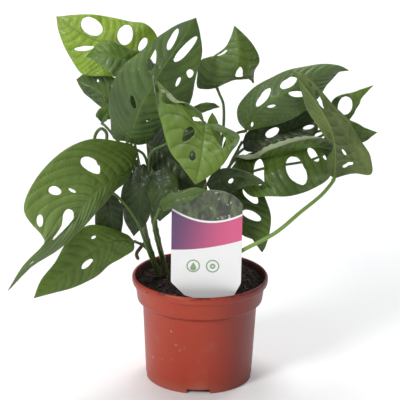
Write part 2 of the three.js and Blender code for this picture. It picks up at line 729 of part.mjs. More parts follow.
// A petiole leaves its vine on the side that faces its first point and stops just short of the blade
function petiolePoints({ vine, at, way, base }) {
  const foot = vinePaths[vine].getPoint(at);
  const next = point(way[0] || base);
  const out = new THREE.Vector3(next.x - foot.x, next.y - foot.y, 0);
  foot.add(out.setLength(VINE_R + PETIOLE_R + GAP));
  const points = [foot, ...way.map(point)];
  const end = point(base);
  const last = points[points.length - 1];
  const back = last.clone().sub(end).setLength(PETIOLE_R + 2 * GAP);
  return [...points, end.add(back)];
}

addPiece("pot", potGeometry(), colours.pot);
addPiece("soil", soilGeometry(), colours.soil);
addPiece("plant_label", cardGeometry(), colours.label);
for (const name of Object.keys(VINES)) addPiece("vine_" + name, vineGeometry(name), colours.vine);
for (const [name, leaf] of Object.entries(LEAVES)) {
  const petiole = petiolePoints(leaf);
  const radius = leaf.thick || PETIOLE_R;
  addPiece("petiole_" + name, rodGeometry(petiole, radius, 2 * petiole.length), colours.petiole);
  addPiece("leaf_" + name, new Blade(leaf).geometry(), leaf.young ? colours.young : colours.leaf);
}

export default plant;
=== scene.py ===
"""A potted Swiss cheese vine in a 12 cm nursery pot, with a push-in label in its soil."""

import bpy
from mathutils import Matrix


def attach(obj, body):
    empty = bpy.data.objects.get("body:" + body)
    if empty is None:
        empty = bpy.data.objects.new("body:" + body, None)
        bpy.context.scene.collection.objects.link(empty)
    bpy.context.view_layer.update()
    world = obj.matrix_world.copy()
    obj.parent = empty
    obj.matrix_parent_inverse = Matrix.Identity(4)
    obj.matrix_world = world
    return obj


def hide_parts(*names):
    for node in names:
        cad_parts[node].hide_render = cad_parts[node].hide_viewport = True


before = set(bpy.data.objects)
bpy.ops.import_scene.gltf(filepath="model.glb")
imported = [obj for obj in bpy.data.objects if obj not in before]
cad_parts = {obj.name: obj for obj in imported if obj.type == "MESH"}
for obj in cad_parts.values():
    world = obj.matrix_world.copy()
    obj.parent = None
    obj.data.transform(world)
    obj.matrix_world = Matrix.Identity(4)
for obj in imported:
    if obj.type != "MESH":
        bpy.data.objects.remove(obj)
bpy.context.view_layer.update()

import math

import bmesh
import bpy
import numpy as np
from mathutils import Matrix, Quaternion, Vector
from mathutils.geometry import delaunay_2d_cdt

# ---- Camera -------------------------------------------------------------------------------------
# A long lens a little above the plant, level with the middle of the foliage.

EYE = Vector((0, -1.3937, 0.6122))
AIM = Vector((0, 0, 0.1629))
camera = bpy.data.objects.new("camera", bpy.data.cameras.new("camera"))
bpy.context.collection.objects.link(camera)
bpy.context.scene.camera = camera
camera.data.lens = 151.5
camera.data.sensor_width = 36
camera.data.shift_x = -0.00336
camera.location = EYE
camera.rotation_mode = "QUATERNION"
tilt = Quaternion((0, 0, 1), 0.016)
camera.rotation_quaternion = (AIM - EYE).to_track_quat("-Z", "Y") @ tilt

# ---- Studio -------------------------------------------------------------------------------------
# A pale floor under soft boxes: the large one high at the front left, a weaker one at the right, one
# overhead that gives the leaves their broad pale reflections, and one for the floor behind.


class Wire:
    """One output of a node. Arithmetic on it adds Math nodes, and add() puts in any other node."""

    def __init__(self, tree, socket=None):
        self.tree = tree
        self.socket = socket

    def add(self, kind, settings=None, inputs=None, out=0):
        node = self.tree.nodes.new(kind)
        for name, value in (settings or {}).items():
            setattr(node, name, value)
        for name, value in (inputs or {}).items():
            if isinstance(value, Wire):
                self.tree.links.new(value.socket, node.inputs[name])
            else:
                node.inputs[name].default_value = value
        return Wire(self.tree, node.outputs[out] if len(node.outputs) else None)

    def math(self, operation, *values):
        inputs = dict(enumerate((self, *values)))
        return self.add("ShaderNodeMath", {"operation": operation}, inputs)

    def blend(self, start, end):
        """The colour that goes from start to end as this value goes from 0 to 1."""
        return self.add("ShaderNodeMix", {"data_type": "RGBA"}, {0: self, 6: start, 7: end}, out=2)

    def fade(self, low, high):
        """0 below low, 1 above high, and smooth between; low may be the larger."""
        settings = {"interpolation_type": "SMOOTHSTEP"}
        return self.add("ShaderNodeMapRange", settings, {"Value": self, "From Min": low, "From Max": high})

    def __add__(self, other):
        return self.math("ADD", other)

    def __sub__(self, other):
        return self.math("SUBTRACT", other)

    def __rsub__(self, other):
        return (self * -1) + other

    def __mul__(self, other):
        return self.math("MULTIPLY", other)

    def __truediv__(self, other):
        return self.math("DIVIDE", other)

    __radd__ = __add__


def rgb(red, green, blue):
    return (red, green, blue, 1)


def start(name):
    """A new material, and a wire to begin its nodes from."""
    material = bpy.data.materials.new(name)
    material.use_nodes = True
    material.node_tree.nodes.clear()
    return material, Wire(material.node_tree)


def finish(wire, colour, roughness, height, depth, **uniform):
    """The shader and its output: depth is how far height 0 to 1 stands out, in metres."""
    bump = wire.add("ShaderNodeBump", {}, {"Height": height, "Distance": depth, "Strength": 1})
    inputs = {"Base Color": colour, "Roughness": roughness, "Normal": bump}
    inputs.update({name.replace("_", " "): value for name, value in uniform.items()})
    shader = wire.add("ShaderNodeBsdfPrincipled", {}, inputs)
    wire.add("ShaderNodeOutputMaterial", {}, {"Surface": shader})


def here(wire):
    return wire.add("ShaderNodeTexCoord", out="Object")


def part(wire, vector, axis):
    """One of a vector's X, Y and Z."""
    return wire.add("ShaderNodeSeparateXYZ", {}, {0: vector}, out=axis)


def noise(wire, place, scale, detail=3.0, roughness=0.5):
    inputs = {"Vector": place, "Scale": scale, "Detail": detail, "Roughness": roughness}
    return wire.add("ShaderNodeTexNoise", {}, inputs, out="Fac")


def solid(name, vertices, faces, materials, slots=None, smooth=True):
    """A new object in the scene from points in metres."""
    mesh = bpy.data.meshes.new(name)
    mesh.from_pydata([tuple(map(float, v)) for v in vertices], [], [tuple(map(int, f)) for f in faces])
    for material in materials:
        mesh.materials.append(material)
    if slots is not None:
        mesh.polygons.foreach_set("material_index", np.asarray(slots, np.int32))
    mesh.polygons.foreach_set("use_smooth", np.full(len(mesh.polygons), smooth))
    mesh.update()
    piece = bpy.data.objects.new(name, mesh)
    bpy.context.collection.objects.link(piece)
    return piece


floor_paint, wire = start("studio floor")
grain = noise(wire, here(wire), 6)
finish(wire, grain.blend(rgb(0.95, 0.95, 0.95), rgb(0.97, 0.97, 0.97)), 0.8, grain, 0.0002)
FLOOR = 6
corners = [(-FLOOR, -FLOOR, 0), (FLOOR, -FLOOR, 0), (FLOOR, FLOOR, 0), (-FLOOR, FLOOR, 0)]
floor = solid("studio_floor", corners, [(0, 1, 2, 3)], [floor_paint])


def soft_box(name, place, aim, size, watts):
    lamp = bpy.data.lights.new(name, "AREA")
    lamp.shape = "DISK"
    lamp.size = size
    lamp.energy = watts
    box = bpy.data.objects.new(name, lamp)
    bpy.context.collection.objects.link(box)
    box.location = place
    box.rotation_mode = "QUATERNION"
    box.rotation_quaternion = (Vector(aim) - Vector(place)).to_track_quat("-Z", "Y")


MIDDLE = (0, 0, 0.18)
soft_box("front box", (-3.6, -3.9, 3.6), MIDDLE, 1.9, 215)
soft_box("side box", (4.6, -2.6, 2.0), MIDDLE, 2.4, 14)
soft_box("top box", (-0.6, 1.6, 5.4), MIDDLE, 2.6, 150)
soft_box("floor box", (1.6, 2.6, 2.4), (0.75, 0.55, 0), 1.8, 40)

world = bpy.data.worlds.new("studio")
bpy.context.scene.world = world
world.use_nodes = True
world.node_tree.nodes.clear()
wire = Wire(world.node_tree)
sky = wire.add("ShaderNodeBackground", {}, {"Color": rgb(0.95, 0.97, 1.0), "Strength": 0.3})
card = wire.add("ShaderNodeBackground", {}, {"Color": rgb(1, 1, 1), "Strength": 1})
seen = wire.add("ShaderNodeLightPath", out="Is Camera Ray")
backdrop = wire.add("ShaderNodeMixShader", {}, {0: seen, 1: sky, 2: card})
wire.add("ShaderNodeOutputWorld", {}, {"Surface": backdrop})
bpy.context.scene.view_settings.view_transform = "Standard"

# ---- Pot ----------------------------------------------------------------------------------------
# A nursery pot injection moulded in one piece from terracotta-red polypropylene: a slightly tapered
# wall, a stepped collar under a rolled rim, and a foot ring notched so that drained water runs out.

MM = 0.001
FOOT_R = 47.1 * MM
FOOT_W = 3.2 * MM
NOTCHES = 4
NOTCH_W = 20.5 * MM
NOTCH_H = 4.2 * MM
DRAINS = 6
DRAIN_R = 4 * MM
DRAIN_RING = 33 * MM
ARC_STEPS = 4


def rounded(corners):
    """[radius, height, rounding] corners in mm, in order, with an arc at each in place of its point."""
    path = []
    for i, (r, z, rounding) in enumerate(corners):
        corner = Vector((r, z))
        before = Vector(corners[i - 1][:2])
        after = Vector(corners[(i + 1) % len(corners)][:2])
        if rounding == 0:
            path.append(corner)
            continue
        enter = corner + (before - corner).normalized() * rounding
        leave = corner + (after - corner).normalized() * rounding
        for k in range(ARC_STEPS + 1):
            t = k / ARC_STEPS
            path.append(enter.lerp(corner, t).lerp(corner.lerp(leave, t), t))
    return [point * MM for point in path]


def turned(path, around):
    """Vertices and faces of a solid of revolution from a closed path of (radius, height)."""
    vertices = []
    rings = []
    for point in path:
        if point.x < 1e-7:
            rings.append([len(vertices)] * around)
            vertices.append((0, 0, point.y))
            continue
        rings.append(list(range(len(vertices), len(vertices) + around)))
        for k in range(around):
            a = math.tau * k / around
            vertices.append((point.x * math.cos(a), point.x * math.sin(a), point.y))
    faces = []
    for low, high in zip(rings, rings[1:] + rings[:1]):
        for k in range(around):
            n = (k + 1) % around
            corner = [low[k], low[n], high[n], high[k]]
            face = [v for i, v in enumerate(corner) if v not in corner[:i]]
            if len(face) > 2:
                faces.append(face)
    return vertices, faces


pot_paint, wire = start("satin terracotta polypropylene")
place = here(wire)
cloud = noise(wire, place, 22, 4)
mottle = noise(wire, place, 160, 3)
sides = part(wire, place, "X")
deep = part(wire, place, "Y")
height = part(wire, place, "Z")
flake = wire.add("ShaderNodeTexVoronoi", {}, {"Vector": place, "Scale": 150}, out="Distance")
scratch = flake.fade(0.24, 0.1) * noise(wire, place, 300, 2).fade(0.35, 0.55)
scuffed = noise(wire, place, 38, 2).fade(0.48, 0.6) * sides.fade(0.02, -0.02) * height.fade(0.072, 0.06)
rubbed = wire.add("ShaderNodeNewGeometry", out="Pointiness").fade(0.53, 0.6)
speck = wire.add("ShaderNodeTexVoronoi", {}, {"Vector": place, "Scale": 62}, out="Distance")
dirt = speck.fade(0.08, 0.045) * noise(wire, place, 30, 1).fade(0.5, 0.6)
radius = (sides * sides + deep * deep).math("SQRT")
smear = noise(wire, place, 90, 4, 0.65)
# the inside of the wall: its radius, less the wall's taper
inner = (radius - height * 0.1357).fade(0.0451, 0.0445)
soiled = inner * height.fade(0.068, 0.076) * smear.fade(0.2, 0.42)
soiled = soiled.math("MAXIMUM", height.fade(0.0905, 0.0942) * smear.fade(0.5, 0.62) * 0.75)
shaded = sides.fade(0, 0.056) * 0.95
dust = height.fade(0.012, 0) * 0.35 + noise(wire, place, 70, 4).fade(0.55, 0.75) * 0.18
red = (cloud * 0.7 + mottle * 0.3).blend(rgb(0.34, 0.034, 0.012), rgb(0.42, 0.048, 0.02))
red = (scratch * scuffed * 0.6).blend(red, rgb(0.62, 0.34, 0.28))
red = (rubbed * 0.25).blend(red, rgb(0.6, 0.22, 0.16))
red = dust.blend(red, rgb(0.36, 0.17, 0.12))
red = shaded.blend(red, rgb(0.155, 0.014, 0.011))
red = soiled.blend(red, rgb(0.035, 0.014, 0.009))
red = dirt.blend(red, rgb(0.03, 0.016, 0.012))
moulded = mottle * 0.35 + noise(wire, place, 900, 1) * 0.35 - scratch * scuffed * 0.4
finish(
    wire, red, 0.36 + cloud * 0.14 + dust * 0.3 + scratch * scuffed * 0.2, moulded, 0.00005,
    Specular_IOR_Level=0.36, Coat_Weight=0.05, Coat_Roughness=0.3,
)

pot_path = rounded([
    (FOOT_R / MM - FOOT_W / MM, 0, 0.5),
    (FOOT_R / MM, 0, 0.7),
    (50.4, 69, 0.8),
    (53.8, 71.5, 0.7),
    (55.3, 73, 0.9),
    (57.2, 87, 0.5),
    (59.3, 87.6, 0.4),
    (60, 89.4, 0.8),
    (60, 93, 0.9),
    (58.8, 94.6, 0.5),
    (57.6, 94.1, 0.4),
    (55.9, 87, 0.6),
    (54.0, 73.8, 0.7),
    (49.1, 69.8, 0.8),
    (46.0, 5.7, 1.0),
    (0, 5.7, 0),
    (0, 4.4, 0),
    (43.9, 4.4, 0.8),
])
POT_AROUND = 160
pot = solid("pot_shell", *turned(pot_path, POT_AROUND), [pot_paint])


def cut(piece, name, vertices, faces):
    """Takes a closed solid out of a piece."""
    tool = solid(name, vertices, faces, [])
    tidy = bmesh.new()
    tidy.from_mesh(tool.data)
    bmesh.ops.recalc_face_normals(tidy, faces=tidy.faces)
    tidy.to_mesh(tool.data)
    tidy.free()
    knife = piece.modifiers.new("cut", "BOOLEAN")
    knife.operation = "DIFFERENCE"
    knife.solver = "EXACT"
    knife.object = tool
    settled = piece.evaluated_get(bpy.context.evaluated_depsgraph_get())
    mesh = bpy.data.meshes.new_from_object(settled)
    mesh.set_sharp_from_angle(angle=math.radians(40))
    piece.modifiers.clear()
    piece.data = mesh
    bpy.data.objects.remove(tool)


BRICK = [(0, 1, 3, 2), (4, 6, 7, 5), (0, 4, 5, 1), (2, 3, 7, 6), (0, 2, 6, 4), (1, 5, 7, 3)]
notches = ([], [])
drains = ([], [])
for i in range(NOTCHES):
    turn = Matrix.Rotation(-math.pi / 2 + i * math.tau / NOTCHES, 3, "Z")
    first = len(notches[0])
    for x in (FOOT_R - 2 * FOOT_W, FOOT_R + FOOT_W):
        for y in (-NOTCH_W / 2, NOTCH_W / 2):
            for z in (-NOTCH_H, NOTCH_H):
                notches[0].append(turn @ Vector((x, y, z)))
    notches[1].extend([tuple(first + k for k in face) for face in BRICK])
for i in range(DRAINS):
    turn = Matrix.Rotation(i * math.tau / DRAINS, 3, "Z")
    first = len(drains[0])
    around = 32
    for z in (2 * MM, 8 * MM):
        for k in range(around):
            a = math.tau * k / around
            spot = Vector((DRAIN_RING + DRAIN_R * math.cos(a), DRAIN_R * math.sin(a), z))
            drains[0].append(turn @ spot)
    for k in range(around):
        n = (k + 1) % around
        drains[1].append((first + k, first + n, first + around + n, first + around + k))
    drains[1].append(tuple(first + k for k in reversed(range(around))))
    drains[1].append(tuple(first + around + k for k in range(around)))
cut(pot, "notches", *notches)
cut(pot, "drains", *drains)
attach(pot, "root")
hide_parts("pot")

# ---- Soil ---------------------------------------------------------------------------------------
# Damp dark peat that fills the pot to just below its rim, heaped a little towards the back right.
# Crumbs and fibres lie loose over its top.

SOIL_TOP = 87 * MM
HEAP = 5 * MM
soil_paint, wire = start("damp peat")
place = here(wire)
coarse = noise(wire, place, 120, 5, 0.65)
fine = noise(wire, place, 700, 4, 0.7)
inputs = {"Vector": place, "Scale": (1, 0.25, 1), "Rotation": (0, 0, 0.7)}
thread = wire.add("ShaderNodeMapping", {}, inputs)
fibre = noise(wire, thread, 900, 2).fade(0.66, 0.72)
peat = coarse.blend(rgb(0.004, 0.002, 0.0012), rgb(0.018, 0.0075, 0.0045))
peat = (fine.fade(0.55, 0.75) * 0.36).blend(peat, rgb(0.055, 0.026, 0.013))
peat = (fibre * 0.5).blend(peat, rgb(0.15, 0.085, 0.04))
damp = 0.92 - coarse.fade(0.4, 0.2) * 0.35
finish(wire, peat, damp, coarse * 0.6 + fine * 0.4, 0.0008, Specular_IOR_Level=0.25)

fibre_paint, wire = start("dry root fibre")
shade = noise(wire, here(wire), 300, 3)
finish(wire, shade.blend(rgb(0.09, 0.05, 0.025), rgb(0.27, 0.17, 0.085)), 0.85, shade, 0.0002)


def rough(x, y, scale, seed):
    """A smooth random height from -1 to 1."""
    total = np.zeros(np.shape(x))
    pick = np.random.default_rng(seed)
    for octave in range(5):
        angle, shift = pick.uniform(0, math.tau, 2)
        f = scale * 1.7**octave
        total += np.sin(f * (x * np.cos(angle) + y * np.sin(angle)) + shift) * 0.7**octave
        total += np.sin(f * (y * np.cos(angle * 2) - x * np.sin(angle * 2)) + 2 * shift) * 0.7**octave
    return total / 5


def soil_height(x, y):
    """The height of the soil's top at a place in the pot, in metres."""
    x = np.asarray(x, float)
    y = np.asarray(y, float)
    r = np.hypot(x, y)
    lift = np.maximum(0, (x + y) / 0.06) * HEAP * np.clip((0.057 - r) / 0.008, 0, 1)
    mound = 1.4 * MM * np.clip(1 - r / 0.05, 0, 1)
    lumps = 0.9 * MM * rough(x, y, 210, 3) + 0.45 * MM * rough(x, y, 900, 4)
    return SOIL_TOP + lift + mound + lumps


def inner_radius(z):
    """How wide the pot is inside at a height, less the gap that the soil keeps to it."""
    return np.interp(z, [5.7 * MM, 69 * MM, 74 * MM, 88 * MM], [45.5 * MM, 48.6 * MM, 53.4 * MM, 55.4 * MM])


SOIL_AROUND = 120
vertices = [(0, 0, float(soil_height(0, 0)))]
rings = []
for r in np.linspace(1.2, 55, 40) * MM:
    ring = []
    for k in range(SOIL_AROUND):
        a = math.tau * k / SOIL_AROUND
        x, y = r * math.cos(a), r * math.sin(a)
        ring.append(len(vertices))
        vertices.append((x, y, float(soil_height(x, y))))
    rings.append(ring)
for z in np.linspace(84, 6.4, 12) * MM:
    ring = []
    for k in range(SOIL_AROUND):
        a = math.tau * k / SOIL_AROUND
        r = float(inner_radius(z)) - 0.2 * MM * abs(math.sin(7 * a))
        ring.append(len(vertices))
        vertices.append((r * math.cos(a), r * math.sin(a), z))
    rings.append(ring)
faces = [(0, rings[0][k], rings[0][(k + 1) % SOIL_AROUND]) for k in range(SOIL_AROUND)]
for inner, outer in zip(rings, rings[1:]):
    for k in range(SOIL_AROUND):
        n = (k + 1) % SOIL_AROUND
        faces.append((inner[k], outer[k], outer[n], inner[n]))
faces.append(tuple(reversed(rings[-1])))
soil = solid("soil_heap", vertices, faces, [soil_paint])


def geometry_tree(name, **inputs):
    """A Geometry Nodes tree with named inputs, and wires from its geometry and from each input."""
    tree = bpy.data.node_groups.new(name, "GeometryNodeTree")
    tree.interface.new_socket("Geometry", in_out="OUTPUT", socket_type="NodeSocketGeometry")
    tree.interface.new_socket("Geometry", in_out="INPUT", socket_type="NodeSocketGeometry")
    for label, kind in inputs.items():
        tree.interface.new_socket(label, in_out="INPUT", socket_type="NodeSocket" + kind)
    group = tree.nodes.new("NodeGroupInput")
    return tree, {socket.name: Wire(tree, socket) for socket in group.outputs if socket.name}


def end_tree(wire, paint):
    """Realize Instances, Set Material and the tree's output."""
    whole = wire.add("GeometryNodeRealizeInstances", {}, {"Geometry": wire})
    painted = whole.add("GeometryNodeSetMaterial", {}, {"Geometry": whole, "Material": paint})
    painted.add("NodeGroupOutput", {}, {"Geometry": painted})


def grow(base, tree, name, **values):
    """The plain mesh that a tree makes of a mesh or curve, as a new piece."""
    modifier = base.modifiers.new(name, "NODES")
    modifier.node_group = tree
    for item in tree.interface.items_tree:
        if item.in_out == "INPUT" and item.name in values:
            modifier[item.identifier] = values[item.name]
    settled = base.evaluated_get(bpy.context.evaluated_depsgraph_get())
    mesh = bpy.data.meshes.new_from_object(settled)
    base.modifiers.remove(modifier)
    piece = bpy.data.objects.new(name, mesh)
    bpy.context.collection.objects.link(piece)
    return piece


def strewn_tree(name):
    """Small shapes strewn over a surface: crumbs when Length is 1, fibres when it is large."""
    tree, given = geometry_tree(
        name, Density="Float", Smallest="Float", Largest="Float", Length="Float", Seed="Int",
        Paint="Material",
    )
    surface = given["Geometry"]
    top = surface.add("GeometryNodeInputNormal")
    up = surface.add("ShaderNodeSeparateXYZ", {}, {0: top}, out="Z").math("GREATER_THAN", 0.3)
    inputs = {"Mesh": surface, "Selection": up, "Density": given["Density"], "Seed": given["Seed"]}
    points = surface.add("GeometryNodeDistributePointsOnFaces", {}, inputs)
    lump = surface.add("GeometryNodeMeshIcoSphere", {}, {"Radius": 0.5, "Subdivisions": 1})
    spot = surface.add("GeometryNodeInputPosition")
    bumps = surface.add("ShaderNodeTexNoise", {}, {"Vector": spot, "Scale": 2.3, "Detail": 1}, out="Color")
    centred = surface.add("ShaderNodeVectorMath", {"operation": "SUBTRACT"}, {0: bumps, 1: (0.5, 0.5, 0.5)})
    lump = lump.add("GeometryNodeSetPosition", {}, {"Geometry": lump, "Offset": centred})
    size = surface.add(
        "FunctionNodeRandomValue", {"data_type": "FLOAT"},
        {2: given["Smallest"], 3: given["Largest"], "Seed": given["Seed"]}, out=1,
    )
    spin = surface.add(
        "FunctionNodeRandomValue", {"data_type": "FLOAT_VECTOR"},
        {0: (-0.35, -0.35, 0), 1: (0.35, 0.35, math.tau), "Seed": given["Seed"] + 1}, out=0,
    )
    inputs = {"X": size * given["Length"], "Y": size, "Z": size * 0.8}
    form = surface.add("ShaderNodeCombineXYZ", {}, inputs)
    inputs = {"Points": points, "Instance": lump, "Rotation": spin, "Scale": form}
    placed = points.add("GeometryNodeInstanceOnPoints", {}, inputs)
    end_tree(placed, given["Paint"])
    return tree


strewn = strewn_tree("strewn over the soil")
crumbs = grow(
    soil, strewn, "soil_crumbs",
    Density=90000.0, Smallest=0.9 * MM, Largest=3.2 * MM, Length=1.0, Seed=5, Paint=soil_paint,
)
fibres = grow(
    soil, strewn, "soil_fibres",
    Density=16000.0, Smallest=0.35 * MM, Largest=0.6 * MM, Length=18.0, Seed=9, Paint=fibre_paint,
)
for piece in (soil, crumbs, fibres):
    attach(piece, "root")
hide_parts("soil")

# ---- Plant label --------------------------------------------------------------------------------
# A card die-cut from white polypropylene sheet, with a domed top and a stake that is pushed into the
# soil. Its front is printed: foliage in the dome over a white arc, and a purple band below it.

CARD_LEFT = -25 * MM
CARD_RIGHT = 35 * MM
CARD_T = 0.6 * MM
CARD_Y = -44 * MM
DOME_FOOT = 168 * MM
DOME_TOP = 186 * MM
SHOULDER = 103 * MM
NECK = 91 * MM
STAKE_HALF = 8 * MM
STAKE_MIDDLE = 2 * MM
STAKE_END = 40 * MM
CORNER = 1.6 * MM

print_paint, wire = start("printed label card")
place = here(wire)
x = part(wire, place, "X")
z = part(wire, place, "Z")
across = (x - CARD_LEFT) / (CARD_RIGHT - CARD_LEFT)
arc = across * across * 0.0355 - across * 0.0397 + 0.1689
band_foot = across * across * 0.0105 - across * 0.0012 + 0.1325
inputs = {"Vector": place, "Scale": (1, 1, 0.5), "Rotation": (0, 0.9, 0)}
leaning = wire.add("ShaderNodeMapping", {}, inputs)
lobe = noise(wire, leaning, 105, 2)
gaps = noise(wire, leaning, 170, 3)
inputs = {"Vector": leaning, "Scale": 120}
ribs = wire.add("ShaderNodeTexVoronoi", {"feature": "DISTANCE_TO_EDGE"}, inputs, out="Distance")
foliage = lobe.fade(0.35, 0.65).blend(rgb(0.06, 0.085, 0.035), rgb(0.15, 0.19, 0.085))
foliage = (ribs.fade(0.12, 0.01) * 0.22).blend(foliage, rgb(0.25, 0.33, 0.17))
foliage = (gaps.fade(0.48, 0.62) * 0.9).blend(foliage, rgb(0.035, 0.045, 0.03))
foliage = (noise(wire, place, 210, 1).fade(0.62, 0.7) * 0.5).blend(foliage, rgb(0.13, 0.09, 0.08))
pale = noise(wire, place, 330, 1).fade(0.66, 0.72) * across.fade(0.3, 0.8)
foliage = pale.blend(foliage, rgb(0.55, 0.52, 0.52))
purple = (across * 1.05 - (z - 0.15) * 4).fade(-0.05, 1.0)
purple = purple.blend(rgb(0.105, 0.045, 0.135), rgb(0.70, 0.10, 0.235))
bare = noise(wire, place, 40, 2).blend(rgb(0.86, 0.86, 0.85), rgb(0.91, 0.91, 0.9))
EDGE = 0.00012
inked = (z - band_foot).fade(-EDGE, EDGE) * (arc - 0.0009 - z).fade(-EDGE, EDGE)
dome = (z - arc - 0.0009).fade(-EDGE, EDGE)


def ring_mark(middle, size, width):
    """1 on a ring printed round a place on the card, in metres."""
    dx = (x - middle[0]) / size
    dz = (z - middle[1]) / size
    away = (dx * dx + dz * dz).math("SQRT")
    return (away - 1).math("ABSOLUTE").fade(width * 1.3, width * 0.7)


def drop_mark(middle, size):
    """1 inside a water drop: a disc drawn up to a point."""
    dx = (x - middle[0]) / size
    dz = (z - middle[1]) / size
    pinch = (dz * -0.42 + 0.72).math("MAXIMUM", 0.02)
    wide = dx / pinch
    return (wide * wide + dz * dz * 0.62).fade(1.06, 0.94)


marks = ring_mark((-0.006, 0.118), 0.0052, 0.11) + ring_mark((0.0105, 0.118), 0.0052, 0.11)
marks = marks + drop_mark((-0.006, 0.1176), 0.0030) + ring_mark((0.0105, 0.118), 0.0016, 0.5)
face = (marks.math("MINIMUM", 1) * 0.85).blend(bare, rgb(0.12, 0.27, 0.08))
face = inked.blend(face, purple)
face = dome.blend(face, foliage)
sheen = noise(wire, place, 500, 2)
finish(wire, face, 0.3 + sheen * 0.08, sheen, 0.00001, Coat_Weight=0.25, Coat_Roughness=0.2)

card_paint, wire = start("bare label card")
milky = noise(wire, here(wire), 60, 3)
finish(wire, milky.blend(rgb(0.7, 0.71, 0.72), rgb(0.82, 0.82, 0.82)), 0.38, milky, 0.00002)


def arc_points(first, bend, last, steps):
    """Points along a quadratic curve, without its last."""
    points = []
    for k in range(steps):
        t = k / steps
        points.append(first.lerp(bend, t).lerp(bend.lerp(last, t), t))
    return points


def corner_points(before, corner, after):
    """Points round a corner of the card, which the die leaves slightly rounded."""
    corner = Vector(corner)
    enter = corner + (before - corner).normalized() * CORNER
    leave = corner + (Vector(after) - corner).normalized() * CORNER
    return arc_points(enter, corner, leave, 4) + [leave]


middle = (CARD_LEFT + CARD_RIGHT) / 2
sharp = [
    (STAKE_MIDDLE + STAKE_HALF * 0.4, STAKE_END),
    (STAKE_MIDDLE + STAKE_HALF, STAKE_END + 12 * MM),
    (STAKE_MIDDLE + STAKE_HALF, NECK - 2 * MM),
    (CARD_RIGHT - 6 * MM, NECK),
    (CARD_RIGHT, SHOULDER),
]
outline = [Vector((STAKE_MIDDLE - STAKE_HALF * 0.4, STAKE_END))]
outline += [Vector(p) for p in sharp[:3]]
outline += corner_points(outline[-1], sharp[3], sharp[4])
outline += corner_points(outline[-1], sharp[4], (CARD_RIGHT, DOME_FOOT))
side = Vector((CARD_RIGHT, DOME_FOOT + 5 * MM))
crown = Vector((middle + 4 * MM, DOME_TOP))
foot = Vector((CARD_LEFT, DOME_FOOT))
outline += arc_points(side, Vector((CARD_RIGHT - 8 * MM, DOME_TOP)), crown, 24)
outline += arc_points(crown, Vector((CARD_LEFT + 12 * MM, DOME_TOP)), foot, 24) + [foot]
clip = (CARD_LEFT + 12 * MM, NECK)
outline += corner_points(outline[-1], (CARD_LEFT, SHOULDER), clip)
outline += corner_points(outline[-1], clip, (STAKE_MIDDLE - STAKE_HALF, NECK - 2 * MM))
outline.append(Vector((STAKE_MIDDLE - STAKE_HALF, NECK - 2 * MM)))
outline.append(Vector((STAKE_MIDDLE - STAKE_HALF, STAKE_END + 12 * MM)))
count = len(outline)
vertices = [(p.x, CARD_Y - CARD_T / 2, p.y) for p in outline]
vertices += [(p.x, CARD_Y + CARD_T / 2, p.y) for p in outline]
faces = [tuple(range(count)), tuple(reversed(range(count, 2 * count)))]
faces += [(k, k + count, (k + 1) % count + count, (k + 1) % count) for k in range(count)]
slots = [0] + [1] * (count + 1)
label = solid("label_card", vertices, faces, [print_paint, card_paint], slots, smooth=False)
bevel = label.modifiers.new("die-cut edge", "BEVEL")
bevel.width = 0.12 * MM
bevel.segments = 2
bevel.limit_method = "ANGLE"
bevel.angle_limit = math.radians(60)
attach(label, "root")
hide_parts("plant_label")

# ---- Vines --------------------------------------------------------------------------------------
# Three fleshy green stems that rise from the soil, swollen at each node where a leaf stalk leaves.
# The left one has the stub of an aerial root low down and a green root that curls over at its top.

VINE_R = 2.7 * MM
ROOT_R = 1.6 * MM
STEM_STEP = 1.2 * MM
VINES = {
    "left": [
        (-36, 10, 60), (-36, 10, 84), (-41, 6, 103), (-47, 0, 125), (-51, -2, 146), (-54, 0, 166),
        (-57, 8, 196),
    ],
    "middle": [
        (-28, 16, 60), (-28, 16, 80), (-33, 13, 101), (-38, 10, 123), (-42, 8, 146), (-44, 8, 169),
        (-46, 6, 190),
    ],
    "right": [
        (22, 10, 60), (22, 10, 82), (19, 8, 103), (16, 6, 124), (14, 4, 148), (12, 4, 171), (11, 2, 192),
    ],
}
ROOT_STUB = [(-47, 0, 125), (-53, -4, 119), (-56, -6, 114), (-54, -7, 109)]
ROOT_LOOP = [
    (-57, 8, 194), (-72, 9, 200), (-82, 10, 208), (-83, 10, 219), (-88, 10, 223), (-93, 10, 216),
    (-93, 10, 203), (-90, 9, 190),
]


def smooth_line(points):
    """A smooth line through points in mm, as a function from steps 0 to 1 to places in metres."""
    points = np.array(points, float) * MM
    padded = np.vstack([2 * points[0] - points[1], points, 2 * points[-1] - points[-2]])

    def places(steps):
        u = np.clip(np.atleast_1d(steps), 0, 1) * (len(points) - 1)
        i = np.minimum(u.astype(int), len(points) - 2)
        w = (u - i)[:, None]
        a, b, c, d = (padded[i + k] for k in range(4))
        square = (2 * a - 5 * b + 4 * c - d) * w**2
        return 0.5 * (2 * b + (c - a) * w + square + (d - a + 3 * b - 3 * c) * w**3)

    return places


def stem_curve(name, places, radii):
    """A curve through places, each with its own radius."""
    curve = bpy.data.curves.new(name, "CURVE")
    curve.dimensions = "3D"
    spline = curve.splines.new("POLY")
    spline.points.add(len(places) - 1)
    for point, place, radius in zip(spline.points, places, radii):
        point.co = (*place, 1)
        point.radius = radius
    thing = bpy.data.objects.new(name, curve)
    bpy.context.collection.objects.link(thing)
    return thing


